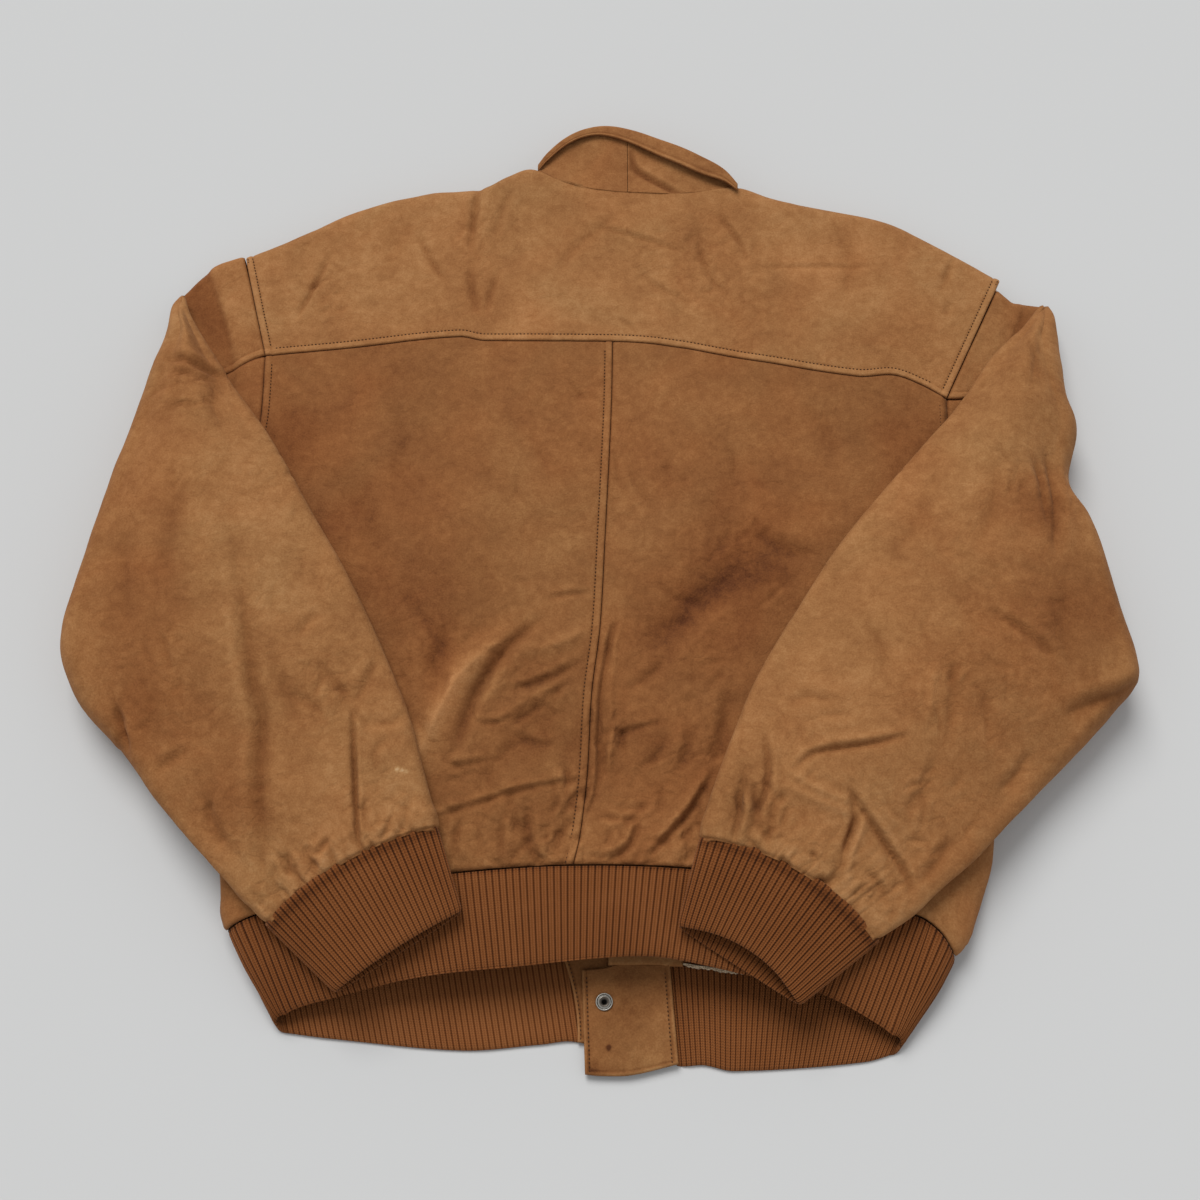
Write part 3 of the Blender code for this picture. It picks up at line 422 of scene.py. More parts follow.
def toned(x, y, patches):
    """Tone and warmth that the patches give a place."""
    tone, warm = np.zeros(np.broadcast(x, y).shape), np.zeros(np.broadcast(x, y).shape)
    for px, py, reach, paler, redder in patches:
        blot = hump(np.hypot(x - px, y - py) + 0.25 * reach * uneven(x, y, 0.5 * reach, 3), reach)
        tone += paler * blot
        warm += redder * blot
    return tone, warm


BACK_CREASES += crinkled(BACK_CRINKLES, 5)
puff, back_width = smooth(PUFF), smooth(BACK)
hem_seam, yoke_seam = smooth(HEM_SEAM), smooth(YOKE_SEAM)


def height(x, y):
    """Outer height of the back: full in the middle, low at the sides."""
    return PUFF_EDGE + (puff(y) - PUFF_EDGE) * (1 - np.minimum(np.abs(x) / HALF_WIDTH, 1) ** 3)


def relief(x, y):
    """How far creases and unevenness lift the back."""
    soft = 0.9 * uneven(x, y, 46, 11) + 0.35 * uneven(x, y, 19, 12) + 0.12 * uneven(x, y, 8, 13)
    return creased(x, y, BACK_CREASES) + soft


def ground(x, y):
    return height(x, y) + relief(x, y)


def roll_length(top, radius):
    return pi / 2 * (radius + top / 2)


def rolled(distance, top, radius):
    """How far out and how high a point is, `distance` along an edge that rolls from `top` to the floor."""
    length = roll_length(top, radius)
    angle = pi * np.minimum(distance / length, 1)
    return radius * np.sin(angle) - np.maximum(distance - length, 0), top / 2 * (1 + np.cos(angle))


def at(x, y, z):
    return np.stack(np.broadcast_arrays(x, y, z), -1)


def back_y(share, fraction):
    """The y of a point on the back, at shares of its width and of the panels' length."""
    ends = []
    for end in (0, 1):
        left, centre, right, _ = back_width(0.0 * fraction + end)
        ends.append(np.where(share < 0.5, mix(left, centre, 2 * share), mix(centre, right, 2 * share - 1)))
    return mix(hem_seam(ends[0]), yoke_seam(ends[1]), fraction)


def back_point(x, fraction):
    """A point on top of the back, at a height up the panels given as a fraction."""
    left, centre, right, _ = back_width(fraction)
    share = np.where(x < centre, 0.5 * share_of(x, left, centre), 0.5 + 0.5 * share_of(x, centre, right))
    y = back_y(share, fraction)
    return at(x, y, height(x, y))


def side_point(side, fraction, share, run):
    """A point on the body's side: from the top (0), round the roll, to `run` mm under it (1)."""
    left, _, right, turn = back_width(fraction)
    inner = (left if side < 0 else right) - side * SIDE_RADIUS
    flat = back_point(inner + side * SIDE_RADIUS * share, fraction)
    top = back_point(inner, fraction)[..., 2]
    out, high = rolled(share * (roll_length(top, SIDE_RADIUS) + run), top, SIDE_RADIUS)
    x = inner + side * out
    y = np.where(high > top / 2, back_point(x, fraction)[..., 1], flat[..., 1])
    return mix(flat, at(x, y, high), turn[..., None])


def spaced(length, step, fine=(False, False)):
    """Fractions along a length of cloth, a step apart, and closer together at an end with a seam."""
    seam_steps = np.array([0, 0.5, 1.0, 1.6, 2.4, 3.4, 4.4, 5.0, 5.5, 6.0, 6.5, 7.2, 8.6, 10.6])
    low = seam_steps if fine[0] else np.zeros(1)
    high = length - (seam_steps if fine[1] else np.zeros(1))[::-1]
    middle = np.linspace(low[-1], high[0], max(round((high[0] - low[-1]) / step), 1) + 1)[1:-1]
    return np.concatenate([low, middle, high]) / length


def turned_seam(distance, weight=1.0):
    """Lift and painted shade of cloth turned in at a seam and topstitched, at a distance in from the seam.
    """
    band = 0.5 - 0.5 * np.tanh((distance - STITCH_IN + 0.4) / 1.0)
    lift = 0.75 * band - 0.55 * hump(distance - STITCH_IN, 0.9) - 1.0 * hump(distance, 0.8)
    # The tone is painted light and shade: a little paler on the raised band, with painted shade in the
    # stitch line's ditch and in the seam's groove.
    tone = 0.09 * band - 0.10 * hump(distance - STITCH_IN, 0.8) - 0.32 * hump(distance, 0.6)
    return weight * lift, weight * tone


def tucked_seam(distance):
    """Lift of the cloth that goes under such a turned edge, and the painted shade that the edge casts on
    it.
    """
    return -0.9 * hump(distance, 1.1), -0.4 * hump(distance, 0.9)


PUCKER_REACH = 15.0


def gathered(along, away, seed, deep=1.0):
    """Lift of the small puckers where leather is gathered onto rib, and their painted light and shade."""
    ripple = 0.5 - 1.3 * np.exp(-np.abs(uneven(along, away * 0.3, 6.5, seed)) / 0.28)
    ripple = ripple + 0.8 * uneven(along, away * 0.3, 13, seed + 1)
    ripple = ripple * np.exp(-np.abs(away) / PUCKER_REACH)
    bag = 1.6 * hump(away - 12, 9) - 1.7 * hump(away, 1.8)
    # The tone is painted: paler where the puckers and the bag stand up, darker in the puckers' hollows, and
    # a painted shadow line along the seam.
    return deep * (1.1 * ripple + bag), 0.16 * ripple + 0.1 * hump(away - 6, 6) - 0.3 * hump(away, 1.2)


def finished(name, bm, material):
    """A bmesh made into a piece of one material."""
    mesh = bpy.data.meshes.new(name)
    bm.to_mesh(mesh)
    bm.free()
    mesh.shade_smooth()
    mesh.materials.append(material)
    piece = bpy.data.objects.new(name, mesh)
    scene.collection.objects.link(piece)
    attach(piece, "root")
    return piece


def cloth(
    name,
    grid,
    lift,
    tone,
    warm,
    material,
    thick,
    turned=False,
    smoothing=0,
    knitted=None,
    inside=None,
    crumple=0.0,
):
    """A sheet through a grid of points in millimetres, lifted along its own normal, with its thickness.

    A knitted one is given its knit's own coordinates and the lift of its inner face. A tube is closed
    where its two ends meet.
    """
    for _ in range(smoothing):
        grid = grid.copy()
        grid[1:-1, 1:-1] = 0.5 * grid[1:-1, 1:-1] + 0.125 * (
            grid[:-2, 1:-1] + grid[2:, 1:-1] + grid[1:-1, :-2] + grid[1:-1, 2:]
        )
    normal = np.cross(np.gradient(grid, axis=1), np.gradient(grid, axis=0))
    normal *= (-1 if turned else 1) / np.maximum(np.linalg.norm(normal, axis=-1, keepdims=True), 1e-9)
    tube = np.allclose(grid[:, 0], grid[:, -1], atol=0.01)
    if tube:
        normal[:, 0] = normal[:, -1] = (normal[:, 0] + normal[:, -1]) / 2
    outer = grid + normal * lift[..., None]
    inner = outer - normal * thick if inside is None else grid - normal * (thick + inside)[..., None]
    faces = np.stack([inner, outer])
    faces[..., 2] = np.maximum(faces[..., 2], 0)
    rows, columns = grid.shape[:2]
    bm = bmesh.new()
    bmesh.ops.create_grid(bm, x_segments=columns - 1, y_segments=rows - 1, size=0.5)
    raised = bmesh.ops.extrude_face_region(bm, geom=bm.faces[:])["geom"]
    bmesh.ops.translate(bm, verts=[v for v in raised if isinstance(v, bmesh.types.BMVert)], vec=(0, 0, 1))
    bmesh.ops.recalc_face_normals(bm, faces=bm.faces[:])
    if turned:
        bmesh.ops.reverse_faces(bm, faces=bm.faces[:])
    if tube:
        ends = [face for face in bm.faces if all(abs(vert.co.x) > 0.4999 for vert in face.verts)]
        bmesh.ops.delete(bm, geom=ends, context="FACES_ONLY")
    piece = finished(name, bm, material)
    mesh = piece.data
    flat = np.empty(3 * len(mesh.vertices), np.float32)
    mesh.vertices.foreach_get("co", flat)
    flat = flat.reshape(-1, 3)
    i = np.rint((flat[:, 0] + 0.5) * (columns - 1)).astype(int)
    j = np.rint((flat[:, 1] + 0.5) * (rows - 1)).astype(int)
    side = np.rint(flat[:, 2]).astype(int)
    mesh.vertices.foreach_set("co", (faces[side, j, i] * MM).astype(np.float32).ravel())
    for word, value in (("tone", tone), ("warm", warm), ("crumple", crumple)):
        spread = np.broadcast_to(value, (rows, columns))[j, i]
        mesh.attributes.new(word, "FLOAT", "POINT").data.foreach_set("value", spread.astype(np.float32))
    if knitted:
        corners = np.empty(len(mesh.loops), int)
        mesh.loops.foreach_get("vertex_index", corners)
        spot = np.stack([np.broadcast_to(k, (rows, columns))[j, i][corners] for k in knitted], -1)
        mesh.uv_layers.new(name="ribs").data.foreach_set("uv", spot.astype(np.float32).ravel())
    if tube:
        bm = bmesh.new()
        bm.from_mesh(mesh)
        bmesh.ops.remove_doubles(bm, verts=bm.verts, dist=1e-6)
        bm.to_mesh(mesh)
        bm.free()
    return piece


def stitched(name, path):
    """A row of thread stitches along a path in millimetres, each a slim bead sunk at both ends."""
    steps = np.linalg.norm(np.diff(path, axis=0), axis=1)
    reach = np.concatenate([[0], np.cumsum(steps)])
    bm = bmesh.new()
    for i in range(int(reach[-1] / STITCH_STEP)):
        ends = []
        for distance in (i * STITCH_STEP, (i + STITCH_LONG) * STITCH_STEP):
            ends.append(Vector([np.interp(distance, reach, path[:, c]) for c in range(3)]))
        way = (ends[1] - ends[0]).normalized()
        across = Vector((0, 0, 1)).cross(way).normalized()
        turn = Matrix((way, across, way.cross(across))).transposed().to_4x4()
        size = Matrix.Diagonal(((ends[1] - ends[0]).length / 2, THREAD / 2, THREAD / 2, 1))
        place = Matrix.Translation((ends[0] + ends[1]) / 2)
        made = bmesh.ops.create_uvsphere(bm, u_segments=6, v_segments=4, radius=1)
        bmesh.ops.transform(bm, matrix=place @ turn @ size, verts=made["verts"])
    bmesh.ops.scale(bm, vec=(MM, MM, MM), verts=bm.verts)
    finished(name, bm, thread_dye)


def add(tree, kind, inputs=(), **settings):
    """A new node, with its sockets set or linked."""
    made = tree.nodes.new(kind)
    for word, value in settings.items():
        setattr(made, word, value)
    for socket, value in dict(inputs).items():
        if isinstance(value, bpy.types.NodeSocket):
            tree.links.new(value, made.inputs[socket])
        else:
            made.inputs[socket].default_value = value
    return made


def noise(tree, where, scale, detail=2.0, distortion=0.0):
    inputs = {"Vector": where, "Scale": scale, "Detail": detail, "Distortion": distortion}
    return add(tree, "ShaderNodeTexNoise", inputs).outputs["Fac"]


def times_plus(tree, value, factor, rest):
    inputs = {0: value, 1: factor, 2: rest}
    return add(tree, "ShaderNodeMath", inputs, operation="MULTIPLY_ADD").outputs[0]


def maths(tree, operation, one, two, clamp=False):
    return add(tree, "ShaderNodeMath", {0: one, 1: two}, operation=operation, use_clamp=clamp).outputs[0]


def place_of(tree):
    return add(tree, "ShaderNodeTexCoord").outputs["Object"]


def painted(tree, word):
    """What the cloth's own points say under a word."""
    return add(tree, "ShaderNodeAttribute", attribute_name=word).outputs["Fac"]


def dyed(tree, value, stops):
    """The colour that a value has in a table of positions and colours."""
    ramp = add(tree, "ShaderNodeValToRGB", {"Fac": value})
    marks = ramp.color_ramp.elements
    while len(marks) < len(stops):
        marks.new(0.5)
    for mark, (position, colour) in zip(marks, stops):
        mark.position = position
        mark.color = (*colour, 1)
    return ramp.outputs["Color"]


def coloured(tree, shader, value, stops):
    tree.links.new(dyed(tree, value, stops), shader.inputs["Base Color"])


def bumped(tree, shader, coarse, fine):
    """Coarse and fine bumps of a surface, each as its height, distance in metres and strength."""
    normal = {}
    for raised, distance, strength in (coarse, fine):
        inputs = {"Height": raised, "Distance": distance, "Strength": strength, **normal}
        normal = {"Normal": add(tree, "ShaderNodeBump", inputs).outputs[0]}
    tree.links.new(normal["Normal"], shader.inputs["Normal"])


def new_material(name, roughness, sheen, sheen_tint):
    material = bpy.data.materials.new(name)
    material.use_nodes = True
    shader = material.node_tree.nodes["Principled BSDF"]
    shader.inputs["Roughness"].default_value = roughness
    shader.inputs["Specular IOR Level"].default_value = 0.12
    shader.inputs["Sheen Weight"].default_value = sheen
    shader.inputs["Sheen Roughness"].default_value = 0.45
    shader.inputs["Sheen Tint"].default_value = (*sheen_tint, 1)
    return material, material.node_tree, shader


THREAD_COLOURS = [(0, (0.036, 0.013, 0.005)), (1, (0.090, 0.036, 0.014))]
SUEDE_RAMP = [  # position, colour: from dark to pale, for soaked and worn leather and for painted shade and light
    (0.00, (0.080, 0.026, 0.009)),
    (0.25, (0.178, 0.067, 0.021)),
    (0.45, (0.250, 0.104, 0.035)),
    (0.60, (0.318, 0.144, 0.052)),
    (0.78, (0.405, 0.202, 0.082)),
    (1.00, (0.520, 0.310, 0.160)),
]


def wrinkled(tree, where, scale, crisp):
    """Thin winding lines: 0 on a line, 1 away from it."""
    away = maths(tree, "SUBTRACT", noise(tree, where, scale, 3, 1.6), 0.5)
    return maths(tree, "MULTIPLY", maths(tree, "ABSOLUTE", away, 0.5), crisp, clamp=True)


def suede(name, base, warmth=0.0):
    """Napped leather, mottled and finely wrinkled, worn pale in places and soaked dark in others, with the
    painted light and shade that its tone carries.
    """
    material, tree, shader = new_material(name, 0.88, 0.08, (0.85, 0.55, 0.35))
    where, crumple = place_of(tree), painted(tree, "crumple")
    broad, blotch = noise(tree, where, 8, 2, 0.2), noise(tree, where, 30, 6, 0.3)
    fleck, nap = noise(tree, where, 150, 4, 0.5), noise(tree, where, 800, 3)
    lines = wrinkled(tree, where, 26, 9)
    shake = add(tree, "ShaderNodeTexNoise", {"Vector": where, "Scale": 40, "Detail": 3}).outputs["Color"]
    inputs = {0: shake, 1: (0.014, 0.014, 0.014), 2: where}
    shaken = add(tree, "ShaderNodeVectorMath", inputs, operation="MULTIPLY_ADD").outputs[0]
    facets = add(tree, "ShaderNodeTexVoronoi", {"Vector": shaken, "Scale": 80}, feature="DISTANCE_TO_EDGE")
    ridge = maths(tree, "MULTIPLY", facets.outputs["Distance"], 4.0, clamp=True)
    fold = maths(tree, "MULTIPLY", ridge, crumple)
    # The fine wrinkle lines and the edges of the crumples' facets are painted darker, as shade in small
    # creases.
    textures = ((broad, 0.20), (blotch, 0.32), (fleck, 0.32), (nap, 0.36), (lines, 0.03))
    value = times_plus(tree, painted(tree, "tone"), 0.55, base - sum(w for _, w in textures[:4]) / 2 - 0.02)
    for texture, weight in textures:
        value = times_plus(tree, texture, weight, value)
    value = times_plus(tree, fold, 0.07, times_plus(tree, crumple, -0.05, value))
    lean = times_plus(tree, noise(tree, where, 14, 3, 0.8), 1.3, 0.5 + 0.5 * warmth - 0.65)
    lean = times_plus(tree, painted(tree, "warm"), 0.5, lean)
    lean = add(tree, "ShaderNodeClamp", {"Value": lean}).outputs[0]
    inputs = {"Factor": lean, 6: (0.98, 1.04, 1.04, 1), 7: (1.04, 0.93, 0.86, 1)}
    tint = add(tree, "ShaderNodeMix", inputs, data_type="RGBA")
    inputs = {"Factor": 1.0, 6: dyed(tree, value, SUEDE_RAMP), 7: tint.outputs[2]}
    colour = add(tree, "ShaderNodeMix", inputs, data_type="RGBA", blend_type="MULTIPLY")
    tree.links.new(colour.outputs[2], shader.inputs["Base Color"])
    tree.links.new(times_plus(tree, blotch, 0.2, 0.78), shader.inputs["Roughness"])
    wrinkle = times_plus(tree, lines, 0.16, noise(tree, where, 70, 5, 0.2))
    wrinkle = times_plus(tree, fold, 0.5, wrinkle)
    fine = times_plus(tree, nap, 0.6, times_plus(tree, noise(tree, where, 2200, 2), 0.4, 0.0))
    bumped(tree, shader, (wrinkle, 0.0020, 0.6), (fine, 0.0007, 0.6))
    return material


back_suede = suede("back suede", 0.42, 0.15)
thread_dye, thread_tree, thread_shader = new_material("brown thread", 0.6, 0.1, (0.6, 0.4, 0.3))
twist = noise(thread_tree, place_of(thread_tree), 1500)
coloured(thread_tree, thread_shader, twist, THREAD_COLOURS)

HEM_GAP = 0.0012  # seam gap at the hem, as a fraction of the panels' length
ROLL_SHARE = 0.2  # of the left panel's columns go round its side


def back_finish(grid, fraction, side):
    """Lift, tone and warmth of a back panel at the points of its grid."""
    x, y = grid[..., 0], grid[..., 1]
    left, centre, right, _ = back_width(fraction)
    puckers, pucker_shading = gathered(x, y - hem_seam(x), 21)
    lift = relief(x, y) + puckers
    # The seams, the creases and the puckers add painted light and shade to the tone.
    seam, shade = tucked_seam(yoke_seam(x) - y)
    lift, deep = lift + seam, shade
    seam, shade = turned_seam(centre - x) if side < 0 else tucked_seam(x - centre)
    lift, deep = lift + seam, deep + shade
    open_from = part_way(fraction, ARMHOLE_FROM, ARMHOLE_FROM + 0.04)
    seam, shade = turned_seam(x - left if side < 0 else right - x, open_from)
    tone, warm = toned(x, y, BACK_PATCHES)
    folds = rubbed(creased(x, y, BACK_CREASES)) + pucker_shading
    return lift + seam, tone + deep + shade + folds, warm


def left_line(u, fraction):
    around = side_point(-1, fraction, 1 - u / ROLL_SHARE, UNDER_RUN)
    left, centre, _, _ = back_width(fraction)
    flat = back_point(mix(left + SIDE_RADIUS, centre - SEAM / 2, share_of(u, ROLL_SHARE, 1)), fraction)
    return np.where((u < ROLL_SHARE)[..., None], around, flat)


def right_line(u, fraction):
    _, centre, right, turn = back_width(fraction)
    return back_point(mix(centre + SEAM / 2, right - SIDE_SEAM_IN * turn - SEAM / 2, u), fraction)


CREASED_ROWS, CREASED_COLUMNS = 0.56, 0.5  # shares of the panels with the finest creases
CREASED_LONG, PLAIN_LONG = 235, 185  # lengths of the creased part and the rest
PANEL_HALF = 131
SIDE_ROUND = 54  # length round the left side
CREASED_STEP = 1.65
RIGHT_WIDE = 240  # from the centre seam to the side seam


def joined(share, low, high):
    """Two runs of fractions as one, the first of them taking up a share of it."""
    return np.concatenate([share * low, mix(share, 1, high)[1:]])


creased_part = spaced(CREASED_LONG, CREASED_STEP, (True, False))
back_rows = joined(CREASED_ROWS, creased_part, spaced(PLAIN_LONG, 3.4, (False, True)))
back_rows = mix(HEM_GAP, 1 - SEAM / (CREASED_LONG + PLAIN_LONG), back_rows)
creased_part = spaced(PANEL_HALF, CREASED_STEP, (False, True))
centre_columns = joined(1 - CREASED_COLUMNS, spaced(PANEL_HALF, 4.5), creased_part)
left_columns = joined(ROLL_SHARE, spaced(SIDE_ROUND, 5), centre_columns)
u, v = np.meshgrid(left_columns, back_rows)
grid = left_line(u, v)
lift, tone, warm = back_finish(grid, v, -1)
crumple = crumpled(grid[..., 0], grid[..., 1], BACK_CRINKLES)
lift = lift * off_floor(grid[..., 2])
back_left = cloth("leather_back_left", grid, lift, tone, warm, back_suede, LEATHER, crumple=crumple)
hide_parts("back_left")

u, v = np.meshgrid(1 - centre_columns[::-1], back_rows)
grid = right_line(u, v)
lift, tone, warm = back_finish(grid, v, 1)
over_armhole = 400 * (back_width(v)[3] < 0.5)  # there is no side seam above the armhole's foot
side_seam, side_shade = tucked_seam((1 - u) * RIGHT_WIDE + over_armhole)
lift, tone = lift + side_seam, tone + side_shade
crumple = crumpled(grid[..., 0], grid[..., 1], BACK_CRINKLES)
back_right = cloth("leather_back_right", grid, lift, tone, warm, back_suede, LEATHER, crumple=crumple)
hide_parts("back_right")


def seam_row(name, x, y):
    """Stitches over the points (x, y) of the back."""
    stitched(name, at(x, y, ground(x, y) + 0.1))


ROWS_END = 0.985  # the rows of stitches end at this fraction of the panels' length
fractions = np.linspace(0.004, ROWS_END, 260)
for word, far_in in (("", STITCH_IN), ("_edge", EDGE_STITCH_IN)):
    centre_x = back_width(fractions)[1] - far_in
    centre_y = back_point(centre_x, fractions)[..., 1]
    seam_row(f"stitches_centre_back{word}", centre_x, centre_y)
for word, side, low in (("left", -1, 0.80), ("right", 1, 0.90)):
    fractions = np.linspace(low, ROWS_END, 60)
    edge_x = back_width(fractions)[0 if side < 0 else 2] - side * STITCH_IN
    edge_y = back_point(edge_x, fractions)[..., 1]
    seam_row(f"stitches_armhole_{word}_low", edge_x, edge_y)

# ---------------------------------------------------------------- back yoke
# One piece of leather from armhole to armhole, turned in and topstitched over the back panels and over
# both armholes. It rolls over the shoulders to the front and meets the collar at the neck.
TOP_EDGE = [  # x, y, how far the edge rolls under: the shoulders do, the neck seam doesn't
    (-291, 265, 1),
    (-250, 283, 1),
    (-199, 308, 1),
    (-140, 324, 1),
    (-97, 328, 1),
    (-72, 342, 1),
    (-55, 343, 0.4),
    (-33, 331, 0),
    (0, 321, 0),
    (71, 317, 0),
    (108, 323, 0.1),
    (123, 325, 0.6),
    (145, 319, 1),
    (186, 310, 1),
    (242, 297, 1),
    (295, 268, 1),
    (332, 244, 1),
]
ARMHOLE_LEFT = ((-266, 167), (-291, 265))  # low and high ends, x and y
ARMHOLE_RIGHT = ((277, 129), (332, 244))
LEAN_LEFT, LEAN_RIGHT = 0.97, 0.9  # cosines of how far the armholes lean
YOKE_LONG, YOKE_WIDE = 150, 560
SHOULDER_LONG = 52
YOKE_STEP = 2.1
YOKE_FLAT = 0.72  # of its rows lie on top, and the others go round the shoulder

top_edge = smooth(TOP_EDGE)
yoke_suede = suede("yoke suede", 0.61, -0.05)


def armhole_x(side, y):
    low, high = ARMHOLE_LEFT if side < 0 else ARMHOLE_RIGHT
    return mix(low[0], high[0], share_of(y, low[1], high[1]))


def yoke_point(u, v):
    x_low, x_top = (mix(ARMHOLE_LEFT[i][0] + SEAM / 2, ARMHOLE_RIGHT[i][0] - SEAM / 2, u) for i in (0, 1))
    low = yoke_seam(x_low) + SEAM / 2
    top, turn = top_edge(x_top)
    inner = top - SHOULDER_RADIUS * turn - 1
    y = mix(low, inner, np.minimum(v / YOKE_FLAT, 1))
    x = mix(x_low, x_top, share_of(y, low, top))
    flat = at(x, y, height(x, y))
    share = share_of(v, YOKE_FLAT, 1)
    high = height(x_top, inner)
    out, z = rolled(share * (roll_length(high, SHOULDER_RADIUS) + UNDER_RUN), high, SHOULDER_RADIUS)
    y, z = mix(inner + share, inner + out, turn), mix(high, z, turn)
    around = at(mix(x_low, x_top, share_of(y, low, top)), y, z)
    return np.where((v <= YOKE_FLAT)[..., None], flat, around)


yoke_rows = spaced(YOKE_LONG, YOKE_STEP, (True, False))
yoke_rows = joined(YOKE_FLAT, yoke_rows, spaced(SHOULDER_LONG, 3.0))
u, v = np.meshgrid(spaced(YOKE_WIDE, YOKE_STEP, (True, True)), yoke_rows)
grid = yoke_point(u, v)
x, y = grid[..., 0], grid[..., 1]
lift = relief(x, y)
tone, warm = toned(x, y, BACK_PATCHES)
# The creases add their painted light and shade, with their wear, to the tone.
tone = tone + rubbed(creased(x, y, BACK_CREASES))
from_armholes = (LEAN_LEFT * (x - armhole_x(-1, y)), LEAN_RIGHT * (armhole_x(1, y) - x))
for distance in (y - yoke_seam(x), *from_armholes):
    seam, shade = turned_seam(np.maximum(distance, 0))
    lift = lift + seam
    tone = tone + shade
top, turn = top_edge(x)
neck, neck_shade = tucked_seam(top - y)
lift = lift + 0.4 * neck * (1 - turn)
tone = tone + 0.25 * neck_shade * (1 - turn)
lift = lift * off_floor(grid[..., 2])
crumple = crumpled(x, y, BACK_CRINKLES)
yoke = cloth("leather_yoke", grid, lift, tone, warm, yoke_suede, LEATHER, crumple=crumple)
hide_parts("back_yoke")

seam_x = np.linspace(-258, 268, 420)
for row, far_in in (("", STITCH_IN), ("_edge", EDGE_STITCH_IN)):
    seam_row(f"stitches_yoke{row}", seam_x, yoke_seam(seam_x) + far_in)
    for word, side, low, high in (("left", -1, 176, 262), ("right", 1, 138, 240)):
        seam_y = np.linspace(low, high, 90)
        seam_x_in = armhole_x(side, seam_y) - side * far_in / (LEAN_LEFT if side < 0 else LEAN_RIGHT)
        seam_row(f"stitches_armhole_{word}{row}", seam_x_in, seam_y)

# ---------------------------------------------------------------- fronts
# Two fronts lie flat on the floor and meet at the centre front. The right one comes up round the side to
# the side seam on the back.
FRONT_SEAM = [(-262, -292), (-150, -302), (0, -306), (150, -308), (252, -311)]  # x, y
CENTRE_FRONT = 20.0
NECK_DIP = 72.0  # the front neckline hangs this far under the shoulders
NECK_MIDDLE = 32.0
NECK_HALF = 86.0
BODY_SHARE = 10 / 13  # of the fronts' rows are beside the back panels, the others above them
FRONT_CREASES = [  # on the floor side: half width, depth, lip, line
    (9, 2.2, 0, [(-200, -230), (-150, -160), (-130, -90)]),
    (7, 1.8, 0, [(-240, -60), (-190, -20), (-120, 0)]),
    (8, 2.0, 0, [(-220, 90), (-170, 60), (-90, 70)]),
    (6, 1.6, 0, [(-60, -200), (-70, -120), (-50, -60)]),
    (7, 1.8, 0, [(80, -220), (110, -150), (160, -110)]),
    (8, 2.1, 0, [(220, -180), (180, -90), (200, -20)]),
    (9, 2.0, 0, [(90, -20), (140, 30), (210, 50)]),
    (6, 1.5, 0, [(70, 110), (120, 150), (200, 160)]),
    (6, 1.5, 0, [(-190, 180), (-140, 150), (-80, 170)]),
]
SEWN_UNDER = 2.2  # the fronts' low edges go this far under the waistband's
SEWN_TO = 10  # how late towards the sides this ends, as a power

front_seam = smooth(FRONT_SEAM)
front_suede = suede("front suede", 0.52, 0.05)


def front_top(x):
    y = np.minimum(np.minimum(top_edge(x - 9)[0], top_edge(x)[0]), top_edge(x + 9)[0])
    dip = NECK_DIP * np.maximum(1 - ((x - NECK_MIDDLE) / NECK_HALF) ** 2, 0)
    return y - SHOULDER_RADIUS - UNDER_RUN - 9 - dip


def front_row(side, v):
    """Where a row of a front meets the side: its edge x, its y, how far the side turns, its fraction."""
    fraction = mix(HEM_GAP, 1, np.minimum(v / BODY_SHARE, 1))
    left, _, right, turn = back_width(fraction)
    edge = left if side < 0 else right
    y = back_y(0.0 if side < 0 else 1.0, fraction)
    above = np.maximum(share_of(v, BODY_SHARE, 1), 0)
    y = mix(y, front_top(edge), above)
    return np.where(above > 0, armhole_x(side, y), edge), y, turn, fraction


def floor_point(side, share, outer, y):
    """A point of a front on the floor, at a share of the way from the centre front to its outer edge."""
    x = mix(CENTRE_FRONT, outer, share) + side * SEAM / 2 * (1 - share)
    hem = back_y(0.0 if side < 0 else 1.0, HEM_GAP + 0 * share)
    start = mix(hem, front_seam(outer), share**SEWN_TO)
    up = part_way(y, start, front_top(outer))
    low = front_seam(x) + SEAM - SEWN_UNDER * (1 - share**SEWN_TO)
    return at(x, mix(low, front_top(x), up), 0.0)


def right_wrap(share, edge, y, turn, fraction):
    """Up the right side, from the floor (0) to the side seam on top (1)."""
    flat = at(edge - SIDE_RADIUS * turn - SEAM + share, y, 0.0)
    length = roll_length(back_point(edge - SIDE_RADIUS, fraction)[..., 2], SIDE_RADIUS)
    strip = SIDE_SEAM_IN - SIDE_RADIUS - SEAM
    distance = (1 - share) * (length + strip) - strip
    around = side_point(1, fraction, np.maximum(distance, 0) / length, 0)
    top = back_point(edge - SIDE_RADIUS + distance, fraction)
    return mix(flat, np.where((distance > 0)[..., None], around, top), turn[..., None])


FRONT_LONG = 580
FRONT_STEP = 8.0
front_rows = spaced(FRONT_LONG, 6.5, (True, False))
u, v = np.meshgrid(spaced(280, FRONT_STEP, (False, True)), front_rows)
edge, y, turn, _ = front_row(-1, v)
grid = floor_point(-1, 1 - u, edge + (SIDE_RADIUS + UNDER_RUN + 1) * turn + SEAM, y)
lift = np.minimum(creased(grid[..., 0], grid[..., 1], FRONT_CREASES), 0)
# Its creases' valleys are painted darker, as shade.
front_left = cloth("leather_front_left", grid, lift, 0.06 * lift, 0, front_suede, LEATHER, turned=True)
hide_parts("front_left")

